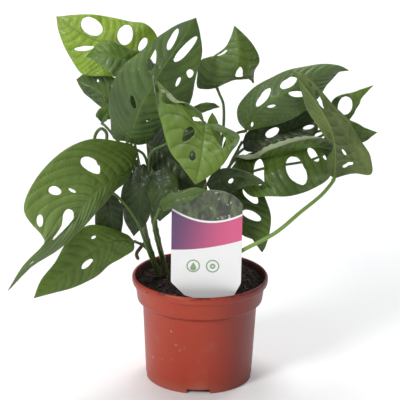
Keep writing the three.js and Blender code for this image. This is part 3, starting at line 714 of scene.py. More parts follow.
stem_tree, given = geometry_tree("fleshy stem", Step="Float", Sides="Int", Paint="Material")
path = given["Geometry"]
inputs = {"Curve": path, "Length": given["Step"]}
path = path.add("GeometryNodeResampleCurve", {"mode": "LENGTH"}, inputs)
section = path.add("GeometryNodeCurvePrimitiveCircle", {}, {"Resolution": given["Sides"], "Radius": 1.0})
wide = path.add("GeometryNodeInputRadius")
inputs = {"Curve": path, "Profile Curve": section, "Scale": wide, "Fill Caps": True}
skin = path.add("GeometryNodeCurveToMesh", {}, inputs)
skin = skin.add("GeometryNodeSetShadeSmooth", {}, {"Geometry": skin})
end_tree(skin, given["Paint"])


def stem(name, places, radii, paint, sides=14):
    base = stem_curve(name + "_path", places, radii)
    piece = grow(base, stem_tree, name, Step=STEM_STEP, Sides=sides, Paint=paint)
    bpy.data.objects.remove(base)
    return piece


vine_paint, wire = start("green vine skin")
place = here(wire)
broad = noise(wire, place, 60, 3)
fleck = wire.add("ShaderNodeMapping", {}, {"Vector": place, "Scale": (1, 1, 0.3)})
fleck = noise(wire, fleck, 700, 3)
skin = broad.blend(rgb(0.055, 0.085, 0.016), rgb(0.155, 0.2, 0.05))
skin = (fleck.fade(0.56, 0.7) * 0.5).blend(skin, rgb(0.24, 0.26, 0.11))
finish(wire, skin, 0.26 + fleck * 0.2, fleck, 0.0003, Coat_Weight=0.3, Coat_Roughness=0.2)

root_paint, wire = start("brown root skin")
place = here(wire)
bark = wire.add("ShaderNodeMapping", {}, {"Vector": place, "Scale": (1, 1, 0.35)})
bark = noise(wire, bark, 800, 4, 0.65)
finish(wire, bark.blend(rgb(0.045, 0.024, 0.012), rgb(0.2, 0.12, 0.06)), 0.8, bark, 0.0004)


def swelling(steps, nodes, amount, reach):
    """1 along a vine, and up to 1 + amount at each of its nodes."""
    total = np.ones(len(steps))
    for node in nodes:
        total += amount * np.exp(-(((steps - node) / reach) ** 2))
    return total

# ---- Leaf stalks and blades: their lines --------------------------------------------------------
# Each leaf hangs on a stalk that leaves a vine at a height along it (0 foot, 1 top) and goes by some
# way to the blade's base. The blade lies between three lines from base to tip: midrib and margins.
# A hole is its two ends as (along, across) and its width in mm.

# A leaf's look: "yellow" tints it, "shade" paints shade over it and "dark_base" more shade near
# its base, "painted_sheen" paints a pale sheen of reflected light on its left and right half and
# "painted_sheen_tip" at its tip, "dry" browns the tip, "wave" ripples its margin in mm, "grain" is
# its mesh's step in mm, "thick" widens its stalk, "seen" is the side that faces the front, and a
# roll is (side, first, last, reach in mm, turn) along a margin.

LEAVES = {
    "young": {
        "vine": "middle", "at": 0.62, "base": (-47, 38, 278), "tip": (-130, 62, 310),
        "way": [(-44, 24, 210), (-43, 40, 242), (-44, 46, 269)],
        "rib": [(-68, 40, 286), (-92, 46, 292), (-113, 54, 300)],
        "left": [
            (-57, 32, 263), (-80, 30, 265), (-96, 32, 264), (-107, 36, 266), (-119, 46, 281),
            (-127, 56, 297),
        ],
        "right": [(-40, 44, 294), (-49, 46, 307), (-67, 50, 310), (-88, 54, 313), (-109, 58, 313)],
        "holes": [
            (0.55, 0.2, 0.77, 0.78, 14), (0.51, -0.19, 0.68, -0.64, 4), (0.3, 0.15, 0.47, 0.84, 10),
            (0.16, 0.22, 0.25, 0.68, 5),
        ],
        "yellow": 0.95, "wave": 2.2, "painted_sheen": (0.05, 0.05), "dark_base": 0,
    },
    "small_left": {
        "vine": "middle", "at": 0.8, "base": (-60, 20, 282), "tip": (-101, 22, 284),
        "way": [(-49, 22, 219), (-56, 28, 253), (-58, 26, 275)],
        "rib": [(-72, 16, 285), (-85, 16, 287)],
        "left": [(-61, 14, 271), (-73, 10, 269), (-82, 10, 274), (-92, 16, 281)],
        "right": [(-56, 22, 289), (-67, 22, 292), (-79, 22, 299), (-89, 22, 296), (-96, 22, 290)],
        "holes": [(0.37, -0.35, 0.29, -0.55, 1.6)],
        "yellow": 0.2, "painted_sheen": (0.4, 0.05), "dry": 0.9, "dark_base": 0.1,
    },
    "tall": {
        "vine": "middle", "at": 0.98, "base": (-65, 2, 214), "tip": (-7, 24, 319),
        "way": [(-51, 12, 200), (-62, 10, 207)],
        "rib": [(-59, -4, 229), (-53, -8, 248), (-39, -6, 274), (-25, 6, 294)],
        "left": [
            (-77, 4, 217), (-80, 4, 234), (-79, 2, 258), (-68, 4, 281), (-48, 12, 297), (-27, 20, 311),
        ],
        "right": [
            (-54, 6, 210), (-38, 10, 215), (-21, 12, 230), (-11, 10, 246), (-6, 10, 269), (-2, 14, 291),
            (-3, 19, 305),
        ],
        "holes": [
            (0.38, -0.11, 0.45, -0.37, 4), (0.61, -0.26, 0.72, -0.68, 7.5), (0.77, -0.25, 0.88, -0.7, 7),
            (0.71, 0.24, 0.87, 0.78, 11), (0.57, 0.52, 0.62, 0.54, 3.5), (0.66, 0.68, 0.63, 0.88, 4.5),
            (0.31, 0.27, 0.34, 0.34, 1.6),
        ],
        "painted_sheen": (0.28, 0.15), "yellow": 0.05, "wave": 1.6, "dark_base": 0.2,
    },
    "front": {
        "vine": "middle", "at": 0.88, "base": (2, -34, 242), "tip": (-5, -84, 203),
        "way": [(-44, -12, 207), (-31, -14, 217), (-9, -22, 231)],
        "rib": [(2, -37, 240), (2, -41, 237), (1, -47, 231), (0, -57, 224), (-2, -71, 213)],
        "left": [
            (-6, -32, 250), (-19, -30, 259), (-32, -24, 269), (-43, -18, 277), (-40, -30, 261),
            (-34, -46, 243), (-27, -62, 226), (-17, -74, 216),
        ],
        "right": [
            (10, -34, 237), (20, -34, 232), (30, -36, 227), (24, -50, 221), (17, -64, 214),
            (5, -76, 207),
        ],
        "holes": [
            (0.39, -0.56, 0.52, -0.82, 8), (0.52, -0.19, 0.69, -0.51, 7), (0.74, -0.16, 0.78, -0.36, 5),
            (0.14, -0.24, 0.44, -0.25, 4), (0.22, 0.45, 0.56, 0.7, 9),
        ],
        "yellow": 0.42, "grain": 0.9, "painted_sheen": (0.18, 0.16),
        "rolls": [(-1, 0, 0.6, 5, 2.6), (1, 0, 0.52, 5, 2.4)], "wave": 0.3, "dark_base": 0,
    },
    "upper_right": {
        "vine": "right", "at": 0.94, "base": (12, 34, 255), "tip": (26, 32, 311),
        "way": [(15, 8, 206), (18, 12, 223), (18, 26, 241), (14, 34, 250)],
        "rib": [(24, 26, 269), (30, 20, 285), (29, 24, 300)],
        "left": [
            (2, 36, 253), (-5, 38, 254), (-5, 38, 266), (-2, 36, 279), (8, 32, 284), (18, 28, 292),
            (23, 28, 301),
        ],
        "right": [
            (24, 34, 261), (35, 36, 263), (43, 37, 264), (44, 38, 258), (45, 37, 269), (48, 36, 280),
            (42, 33, 295), (32, 31, 306),
        ],
        "holes": [(0.57, -0.65, 0.66, -0.47, 4), (0.44, 0.2, 0.24, 0.42, 8.5)],
        "painted_sheen": (0.35, 0), "yellow": 0.24, "dry": 0.8, "dark_base": 0.2,
    },
    "right_arch": {
        "vine": "right", "at": 0.86, "base": (38, 14, 222), "tip": (127, 36, 272),
        "way": [(20, -4, 216), (29, 8, 221)],
        "rib": [(47, 4, 243), (62, -2, 256), (80, 2, 266), (102, 16, 273)],
        "left": [
            (31, 18, 230), (31, 16, 245), (42, 12, 260), (59, 10, 271), (76, 12, 278), (98, 20, 281),
            (116, 30, 278),
        ],
        "right": [(51, 6, 227), (70, 0, 234), (86, 2, 243), (99, 10, 253), (108, 22, 263), (117, 32, 271)],
        "holes": [
            (0.25, -0.15, 0.44, -0.52, 7), (0.49, -0.28, 0.62, -0.38, 8), (0.5, 0.09, 0.56, 0.52, 8),
            (0.07, 0.37, 0.11, 0.31, 3), (0.29, 0.12, 0.35, 0.22, 2.2),
        ],
        "painted_sheen": (0.35, 0.25), "yellow": 0.1, "dark_base": 0.1, "painted_sheen_tip": 0.3,
    },
    "far_right": {
        "vine": "right", "at": 0.32, "base": (115, 4, 183), "tip": (73, -6, 282),
        "way": [(35, -38, 130), (63, -42, 148), (84, -34, 164), (102, -18, 174), (112, -2, 180)],
        "rib": [(115, -3, 202), (113, -7, 219), (107, -10, 237), (96, -13, 255), (84, -12, 270)],
        "left": [
            (109, 2, 190), (108, 0, 203), (112, -4, 214), (101, -8, 230), (89, -12, 247), (83, -13, 264),
            (79, -10, 276),
        ],
        "right": [
            (123, 6, 185), (135, 12, 185), (148, 18, 184), (147, 18, 198), (139, 14, 213), (127, 6, 235),
            (114, 0, 247), (100, -6, 264), (87, -8, 277),
        ],
        "holes": [
            (0.8, 0.74, 0.64, 0.22, 6), (0.32, 0.24, 0.3, 0.36, 5), (0.16, 0.52, 0.28, 0.59, 2.8),
            (0.86, 0.72, 0.82, 0.62, 1.6),
        ],
        "seen": "under", "yellow": 0.2, "wave": 1.6, "dark_base": 0.1, "thick": 1.33,
    },
    "right_tip": {
        "vine": "right", "at": 0.72, "base": (111, 26, 221), "tip": (154, 34, 217),
        "way": [(33, 18, 194), (77, 28, 207), (101, 28, 213)],
        "rib": [(125, 28, 222), (140, 30, 219)],
        "left": [(116, 26, 210), (130, 28, 205), (142, 31, 209)],
        "right": [(117, 28, 234), (129, 30, 229), (142, 32, 222)],
        "yellow": 0.2,
    },
    "right_loop": {
        "vine": "right", "at": 0.8, "base": (119, 34, 226), "tip": (150, 46, 257),
        "way": [(35, 30, 200), (77, 38, 209), (107, 40, 217)],
        "rib": [(129, 36, 235), (139, 40, 246)],
        "left": [(127, 34, 226), (132, 36, 232), (137, 40, 242), (144, 43, 251)],
        "right": [(112, 36, 237), (114, 38, 245), (121, 40, 249), (131, 42, 251), (141, 44, 254)],
        "holes": [(0.21, 0.11, 0.53, 0.77, 12)],
        "yellow": 0.2,
    },
    "lower_right": {
        "vine": "right", "at": 0.5, "base": (29, -4, 203), "tip": (119, 20, 203),
        "way": [(18, -4, 181)],
        "rib": [(51, -12, 205), (75, -12, 211), (97, 0, 212)],
        "left": [
            (32, -10, 209), (44, -16, 213), (56, -20, 222), (74, -18, 228), (94, -4, 225),
            (111, 12, 214),
        ],
        "right": [
            (29, -14, 191), (40, -27, 177), (56, -38, 179), (75, -38, 180), (94, -22, 181),
            (111, 6, 184),
        ],
        "holes": [
            (0.51, 0.14, 0.65, 0.82, 13), (0.68, 0.01, 0.76, 0.36, 8), (0.23, 0.02, 0.36, 0.72, 8),
            (0.81, 0.18, 0.84, 0.38, 4),
        ],
        "yellow": 0.18, "grain": 0.9, "rolls": [(-1, 0.06, 0.85, 5.5, 2.6)], "wave": 0.6,
    },
    "big_left": {
        "vine": "left", "at": 0.5, "base": (-59, -12, 195), "tip": (-157, -112, 118),
        "way": [(-60, 1, 162), (-63, 0, 176), (-62, -5, 187)],
        "rib": [
            (-69, -26, 192), (-80, -40, 189), (-88, -50, 185), (-96, -60, 178), (-104, -70, 168),
            (-123, -92, 151),
        ],
        "left": [
            (-63, -20, 186), (-72, -34, 181), (-82, -48, 173), (-91, -60, 166), (-102, -74, 156),
            (-118, -90, 146), (-139, -102, 135),
        ],
        "right": [
            (-56, -6, 210), (-73, -14, 219), (-95, -28, 224), (-117, -46, 218), (-137, -66, 200),
            (-145, -84, 179), (-130, -92, 159), (-130, -96, 152), (-145, -104, 137),
        ],
        "holes": [
            (0.32, 0.27, 0.37, 0.68, 10.5), (0.53, 0.5, 0.52, 0.72, 6), (0.51, 0.28, 0.5, 0.43, 2.4),
            (0.64, 0.77, 0.65, 0.91, 7), (0.62, 0.29, 0.81, 0.34, 13), (0.9, 0.3, 0.91, 0.45, 1.6),
        ],
        "yellow": 0.4, "painted_sheen": (0.25, 0.08), "painted_sheen_tip": 0.8, "dark_base": 0.55,
    },
    "low_left": {
        "vine": "left", "at": 0.4, "base": (-57, -26, 133), "tip": (-137, -98, 107),
        "way": [(-50, -13, 125), (-54, -19, 129)],
        "rib": [(-75, -42, 139), (-96, -62, 132), (-118, -82, 118)],
        "left": [
            (-58, -30, 126), (-67, -40, 123), (-77, -52, 120), (-89, -66, 114), (-107, -78, 109),
            (-124, -90, 108),
        ],
        "right": [
            (-64, -26, 139), (-76, -36, 148), (-94, -46, 154), (-110, -60, 147), (-121, -76, 131),
            (-132, -88, 119),
        ],
        "holes": [(0.4, 0.49, 0.44, 0.49, 2.4), (0.49, -0.27, 0.59, -0.33, 4.6)],
        "yellow": 0.34, "painted_sheen": (0.24, 0.16), "dark_base": 0.2,
    },
    "left_back": {
        "vine": "left", "at": 0.84, "base": (-69, 34, 232), "tip": (-112, 52, 256),
        "way": [(-61, 22, 199), (-65, 32, 218)],
        "rib": [(-83, 40, 243), (-98, 46, 251)],
        "left": [(-79, 34, 225), (-88, 38, 233), (-99, 44, 241), (-107, 49, 247)],
        "right": [(-67, 34, 248), (-77, 38, 261), (-91, 44, 264), (-103, 49, 263)],
        "holes": [(0.5, 0.22, 0.6, 0.62, 3), (0.28, 0.24, 0.38, 0.66, 3.6)],
        "yellow": 0.1, "shade": 0.1,
    },
    "curled": {
        "vine": "left", "at": 0.92, "base": (-88, 22, 225), "tip": (-74, 32, 241),
        "way": [(-67, 2, 206), (-81, 16, 220)],
        "rib": [(-86, 26, 230)],
        "left": [(-93, 24, 231), (-91, 28, 235), (-86, 32, 238)],
        "right": [(-83, 22, 227), (-78, 28, 231)],
    },
    "hanging_left": {
        "vine": "left", "at": 0.27, "base": (-81, -24, 175), "tip": (-77, -22, 124),
        "way": [(-44, -12, 115), (-49, -26, 136), (-54, -30, 151), (-63, -30, 165), (-74, -31, 177)],
        "rib": [(-78, -25, 159), (-76, -24, 144)],
        "left": [(-88, -26, 170), (-91, -26, 152), (-88, -24, 134)],
        "right": [(-72, -22, 171), (-67, -21, 156), (-69, -21, 137)],
        "shade": 0.62,
    },
    "hanging_middle": {
        "vine": "left", "at": 0.68, "base": (-56, -14, 195), "tip": (-58, -16, 134),
        "way": [(-52, -8, 175), (-55, -4, 189)],
        "rib": [(-53, -20, 179), (-53, -20, 159)],
        "left": [(-64, -14, 186), (-69, -15, 172), (-67, -14, 150)],
        "right": [(-48, -14, 198), (-42, -22, 177), (-45, -20, 152)],
        "holes": [(0.18, 0.07, 0.29, 0.14, 1.6)],
        "shade": 0.74,
    },
    "hanging_right": {
        "vine": "middle", "at": 0.5, "base": (-42, -22, 194), "tip": (-35, -34, 154),
        "way": [(-42, -6, 164), (-44, -10, 185)],
        "rib": [(-35, -30, 183), (-32, -34, 171)],
        "left": [(-45, -22, 185), (-45, -26, 171), (-42, -30, 159)],
        "right": [(-30, -24, 199), (-20, -30, 189), (-22, -36, 169)],
        "holes": [(0.63, -0.59, 0.7, -0.87, 3.8)],
        "shade": 0.64,
    },
    "by_label": {
        "vine": "middle", "at": 0.36, "base": (-35, -42, 169), "tip": (5, -56, 190),
        "way": [(-38, -20, 132), (-40, -42, 154), (-37, -43, 164)],
        "rib": [(-25, -53, 180), (-11, -57, 186)],
        "left": [(-30, -48, 168), (-21, -57, 175), (-9, -61, 182)],
        "right": [(-35, -43, 175), (-28, -49, 183), (-18, -54, 188), (-6, -56, 192)],
        "shade": 0.1, "painted_sheen": (0.3, 0.3),
    },
    "over_label": {
        "vine": "right", "at": 0.42, "base": (4, -24, 185), "tip": (54, -40, 191),
        "way": [(6, -8, 161), (2, -20, 177)],
        "rib": [(19, -31, 193), (36, -36, 195)],
        "left": [(11, -28, 178), (25, -34, 182), (39, -38, 188)],
        "right": [(8, -24, 193), (19, -29, 201), (34, -35, 201), (47, -39, 197)],
        "holes": [(0.44, -0.39, 0.49, -0.11, 4)],
        "shade": 0.6,
    },
    "low_right": {
        "vine": "right", "at": 0.38, "base": (23, -10, 181), "tip": (53, -30, 126),
        "way": [(22, -6, 149), (22, 0, 162)],
        "rib": [(28, -20, 165), (39, -27, 147)],
        "left": [(18, -13, 171), (21, -21, 156), (34, -26, 142), (46, -29, 136), (50, -30, 130)],
        "right": [
            (37, -6, 184), (49, -10, 179), (57, -18, 166), (60, -24, 156), (59, -28, 144),
            (56, -30, 132),
        ],
        "holes": [(0.22, 0.55, 0.4, 0.72, 8), (0.45, 0.14, 0.58, 0.64, 8)],
        "shade": 0.25,
    },
    "gap": {
        "vine": "right", "at": 0.98, "base": (-10, -6, 247), "tip": (15, -6, 248),
        "way": [(3, 7, 209), (-9, 8, 232), (-14, 3, 244)],
        "rib": [(2, -6, 247)],
        "left": [(-4, -6, 243), (3, -6, 244), (10, -6, 247)],
        "right": [(-2, -6, 251), (8, -6, 252)],
        "shade": 0.4,
    },
    "new": {
        "vine": "right", "at": 0.9, "base": (10, -12, 212), "tip": (8, -12, 245),
        "way": [(7, -8, 194), (9, -12, 205)],
        "rib": [(10, -12, 225), (9, -12, 237)],
        "left": [(3, -12, 216), (3, -12, 229), (5, -12, 239)],
        "right": [(17, -12, 215), (15, -12, 229), (12, -12, 239)],
        "yellow": 0.4,
    },
    "dark_right": {
        "vine": "right", "at": 0.6, "base": (35, 16, 212), "tip": (101, 14, 235),
        "way": [(23, 4, 188), (31, 16, 204)],
        "rib": [(57, 18, 216), (79, 18, 224)],
        "left": [(39, 12, 204), (61, 10, 206), (85, 8, 210), (98, 10, 221)],
        "right": [(41, 20, 221), (65, 20, 232), (87, 18, 241)],
        "holes": [(0.32, 0, 0.49, 0.35, 7), (0.75, -0.27, 0.87, -0.54, 4.6)],
        "shade": 0.7,
    },
    "dark_middle": {
        "vine": "middle", "at": 0.66, "base": (-46, 4, 211), "tip": (5, -14, 177),
        "way": [(-39, 8, 186), (-43, 13, 199)],
        "rib": [(-32, -1, 204), (-14, -8, 192)],
        "left": [(-46, 1, 197), (-35, -4, 183), (-16, -10, 173)],
        "right": [(-34, 3, 230), (-13, 1, 237), (0, -6, 212)],
        "shade": 0.8,
    },
    "back_high": {
        "vine": "middle", "at": 0.56, "base": (-47, 58, 217), "tip": (-49, 96, 264),
        "way": [(-46, 34, 174), (-47, 54, 206)],
        "rib": [(-47, 68, 232), (-46, 80, 248)],
        "left": [(-60, 60, 222), (-67, 70, 238), (-61, 86, 255)],
        "right": [(-34, 60, 223), (-28, 70, 239), (-34, 86, 256)],
        "holes": [(0.42, -0.22, 0.55, -0.77, 5), (0.43, 0.3, 0.57, 0.83, 5)],
        "yellow": 0.1, "shade": 0.3,
    },
    "back_left": {
        "vine": "left", "at": 0.7, "base": (-63, 56, 211), "tip": (-106, 112, 235),
        "way": [(-55, 40, 177), (-61, 52, 201)],
        "rib": [(-76, 72, 222), (-90, 90, 231)],
        "left": [(-73, 60, 214), (-86, 78, 222), (-98, 96, 228)],
        "right": [(-65, 60, 229), (-76, 76, 239), (-92, 94, 244)],
        "shade": 0.2,
    },
    "back_right": {
        "vine": "right", "at": 0.66, "base": (118, 60, 195), "tip": (117, 104, 220),
        "way": [(39, 44, 173), (97, 56, 184)],
        "rib": [(119, 74, 203), (119, 88, 211)],
        "left": [(111, 64, 199), (109, 78, 208), (112, 94, 216)],
        "right": [(127, 64, 199), (130, 78, 207), (125, 94, 215)],
        "shade": 0.2,
    },
}

vine_lines = {name: smooth_line(points) for name, points in VINES.items()}
for name, line in vine_lines.items():
    steps = np.linspace(0.02, 1, 120)
    nodes = [leaf["at"] for leaf in LEAVES.values() if leaf["vine"] == name]
    radii = VINE_R * 0.93 * swelling(steps, nodes, 0.2, 0.012)
    radii *= np.where(steps > 0.985, 0.8, 1)
    piece = stem("vine_" + name + "_stem", line(steps), radii, vine_paint, sides=18)
    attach(piece, "root")
    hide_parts("vine_" + name)
steps = np.linspace(0, 1, 60)
taper = 1 - 0.75 * np.clip((steps - 0.9) / 0.1, 0, 1) ** 2
loop = stem("aerial_root_loop", smooth_line(ROOT_LOOP)(steps), ROOT_R * 0.92 * taper, vine_paint)
stub = stem("aerial_root_stub", smooth_line(ROOT_STUB)(steps), ROOT_R * taper, root_paint)
for piece in (loop, stub):
    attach(piece, "root")

# ---- Leaf stalks --------------------------------------------------------------------------------
# Smooth green petioles: each clasps its vine with a wider foot, narrows, and thickens again into the
# knee just under the blade.

PETIOLE_R = 1.5 * MM
stalk_paint, wire = start("green leaf stalk")
place = here(wire)
broad = noise(wire, place, 45, 2)
fleck = noise(wire, place, 900, 2)
skin = broad.blend(rgb(0.036, 0.082, 0.012), rgb(0.1, 0.165, 0.028))
skin = (fleck.fade(0.6, 0.75) * 0.3).blend(skin, rgb(0.23, 0.3, 0.1))
finish(wire, skin, 0.34 + fleck * 0.16, fleck, 0.00012)

bright_stalk_paint, wire = start("bright leaf stalk")
place = here(wire)
broad = noise(wire, place, 40, 2)
fleck = noise(wire, place, 900, 2)
skin = broad.blend(rgb(0.135, 0.24, 0.035), rgb(0.24, 0.36, 0.065))
finish(wire, skin, 0.34 + fleck * 0.16, fleck, 0.00012)

for name, leaf in LEAVES.items():
    foot = vine_lines[leaf["vine"]](leaf["at"])[0]
    line = smooth_line([foot / MM, *leaf["way"], leaf["base"]])
    steps = np.linspace(0, 1, 80)
    radius = leaf.get("thick", 1.0) * PETIOLE_R
    clasp = 0.55 * np.exp(-((steps / 0.07) ** 2))
    knee = 0.22 * np.exp(-(((steps - 0.95) / 0.035) ** 2))
    radii = radius * (0.9 + clasp + knee - 0.12 * steps)
    paint = bright_stalk_paint if leaf.get("thick") else stalk_paint
    piece = stem("stalk_" + name, line(steps), radii, paint)
    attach(piece, "root")
    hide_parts("petiole_" + name)

# ---- Leaf blades --------------------------------------------------------------------------------
# Thin waxy blades with oval holes between their side veins. The upper side is glossy green with sunken
# veins, the under side paler and matt with a raised midrib; a few margins roll over and show it.

BLADE_T = 0.42 * MM
SWELL = 0.95 * MM
CRUMPLE = 1.5 * MM
VEIN_PITCH = 7 * MM
VEIN_HALF = 0.55 * MM
RIB_HALF = 0.75 * MM
LEAN = 0.34
ROWS = (0.0, 0.1, 0.28, 0.5, 0.72, 0.9)


def blade_paint(name, dark, mid, light, vein, groove, painted_sheen_colour, roughness, depth, coat):
    """Leaf skin. The marks on the mesh say how near the midrib, a vein or the edge is, the other vector
    how yellow the blade is, how much painted sheen of reflected light and how much painted shade lie
    on it there, and dry how brown."""
    paint, wire = start(name)
    marks = wire.add("ShaderNodeAttribute", {"attribute_name": "marks"}, out="Vector")
    yellow_sheen_shade = wire.add("ShaderNodeAttribute", {"attribute_name": "yellow_sheen_shade"}, out="Vector")
    rib, side_vein, edge = (part(wire, marks, axis) for axis in "XYZ")
    yellow, painted_sheen, shadow = (part(wire, yellow_sheen_shade, axis) for axis in "XYZ")
    place = here(wire)
    broad = noise(wire, place, 30, 3)
    fine = noise(wire, place, 420, 4, 0.6)
    dry = wire.add("ShaderNodeAttribute", {"attribute_name": "dry"}, out="Fac")
    cell = {"Vector": place, "Scale": 520}
    net = wire.add("ShaderNodeTexVoronoi", {"feature": "DISTANCE_TO_EDGE"}, cell, out="Distance")
    net = net.fade(0.16, 0.02)
    skin = (broad.fade(0.34, 0.66) * 0.8 + fine * 0.2).blend(dark, mid)
    skin = (yellow * (0.75 + broad * 0.5)).blend(skin, light)
    # painted sheen: the pale grey of light reflected off the blade, laid on as colour
    skin = (painted_sheen * (0.7 + broad * 0.5)).blend(skin, painted_sheen_colour)
    # on the upper side, painted shade in the sunken grooves beside the side veins; the under side passes
    # its pale vein colour
    skin = (side_vein * 0.42).blend(skin, groove)
    skin = (net * 0.14).blend(skin, vein)
    skin = (rib * 0.75).blend(skin, vein)
    skin = (edge * 0.3).blend(skin, vein)
    skin = shadow.blend(skin, rgb(0.007, 0.016, 0.003))
    skin = dry.blend(skin, rgb(0.13, 0.06, 0.03))
    waxy = roughness + fine * 0.14 + painted_sheen * 0.12 - side_vein * 0.03
    finish(wire, skin, waxy, fine * 0.5 + net * 0.5, depth, Coat_Weight=coat, Specular_IOR_Level=0.36)
    return paint


upper_paint = blade_paint(
    "leaf upper side", rgb(0.016, 0.044, 0.0025), rgb(0.052, 0.112, 0.008), rgb(0.26, 0.40, 0.022),
    rgb(0.13, 0.22, 0.04), rgb(0.02, 0.055, 0.004), rgb(0.145, 0.2, 0.1), 0.38, 0.00012, 0.08,
)
under_paint = blade_paint(
    "leaf under side", rgb(0.046, 0.078, 0.011), rgb(0.092, 0.132, 0.024), rgb(0.2, 0.28, 0.04),
    rgb(0.19, 0.26, 0.08), rgb(0.17, 0.23, 0.07), rgb(0.33, 0.37, 0.24), 0.55, 0.00014, 0.0,
)


class Blade:
    """A leaf blade's flat plan, and where each part of it lies in space."""

    def __init__(self, leaf):
        self.rib = smooth_line([leaf["base"], *leaf["rib"], leaf["tip"]])
        self.left = smooth_line([leaf["base"], *leaf["left"], leaf["tip"]])
        self.right = smooth_line([leaf["base"], *leaf["right"], leaf["tip"]])
        self.holes = leaf.get("holes", [])
        run = self.rib(np.linspace(0, 1, 300))
        self.length = float(np.linalg.norm(np.diff(run, axis=0), axis=1).sum())

    def margin(self, along, across):
        return np.where(np.asarray(across)[:, None] < 0, self.left(along), self.right(along))

    def half_width(self, along, across):
        reach = np.linalg.norm(self.margin(along, across) - self.rib(along), axis=1)
        return np.maximum(0.5 * MM, reach)

    def flat(self, along, across):
        along = np.asarray(along, float)
        across = np.asarray(across, float)
        return np.column_stack([along * self.length, across * self.half_width(along, across)])

    def unflat(self, points):
        along = points[:, 0] / self.length
        return along, points[:, 1] / self.half_width(along, points[:, 1])

    def places(self, along, across):
        rib = self.rib(along)
        return rib + (self.margin(along, across) - rib) * np.abs(across)[:, None]

    def even_steps(self, line, gap):
        """Steps along a line that are about a gap apart in space."""
        fine = np.linspace(0, 1, 400)
        run = np.linalg.norm(np.diff(line(fine), axis=0), axis=1)
        run = np.concatenate([[0], np.cumsum(run)])
        count = max(6, int(run[-1] / gap))
        return np.interp(np.linspace(0, run[-1], count + 1), run, fine)

    def hole_outline(self, hole, gap=1.1 * MM):
        along1, across1, along2, across2, width = hole
        first, last = self.flat([along1, along2], [across1, across2])
        middle = (first + last) / 2
        long_half = (last - first) / 2
        short_half = np.array([-long_half[1], long_half[0]])
        short_half *= width * MM / 2 / np.linalg.norm(short_half)
        count = max(14, int(math.tau * np.linalg.norm(long_half) / gap))
        angles = np.arange(count) * math.tau / count
        outline = middle + np.cos(angles)[:, None] * long_half + np.sin(angles)[:, None] * short_half
        return outline, middle

    def veins(self, side):
        """Where this side's veins leave the midrib: between its holes, and evenly where it has none."""
        stops = [-LEAN / (1 - LEAN)]
        for hole in self.holes:
            if hole[1] + hole[3] > 0 and side > 0 or hole[1] + hole[3] < 0 and side < 0:
                middle = self.hole_outline(hole)[1]
                along, across = self.unflat(middle[None])
                stops.append(float(self.phase(along, across)[0]))
        stops = np.sort(np.array(stops + [1.06]))
        between = [stops[0]]
        for low, high in zip(stops[1:-1], stops[2:-1]):
            if high - low > 0.05:
                between.append((low + high) / 2)
        between.append(stops[-1])
        pitch = max(0.075, VEIN_PITCH / self.length)
        veins = []
        for low, high in zip(between, between[1:]):
            parts = max(1, round((high - low) / pitch))
            veins.extend(low + (high - low) * k / parts for k in range(parts))
        return np.array(veins + [between[-1]])

    def phase(self, along, across):
        """Where along the midrib the vein through a place starts: veins sweep towards the tip."""
        sweep = LEAN * np.abs(across) ** 1.3
        return (along - sweep) / (1 - sweep)


def sheet_normals(places, triangles):
    a, b, c = (places[triangles[:, k]] for k in range(3))
    across = np.cross(b - a, c - a)
    normals = np.zeros_like(places)
    for k in range(3):
        np.add.at(normals, triangles[:, k], across)
    return normals / np.maximum(1e-12, np.linalg.norm(normals, axis=1))[:, None]


def inside_loop(points, loop):
    """Which points lie inside a closed outline: those with an odd number of its edges to their right."""
    x, y = points[:, 0, None], points[:, 1, None]
    x1, y1 = loop.T
    x2, y2 = np.roll(loop, -1, axis=0).T
    crosses = (y1 > y) != (y2 > y)
    with np.errstate(divide="ignore", invalid="ignore"):
        at = x1 + (y - y1) * (x2 - x1) / (y2 - y1)
    return (crosses & (x < at)).sum(axis=1) % 2 == 1


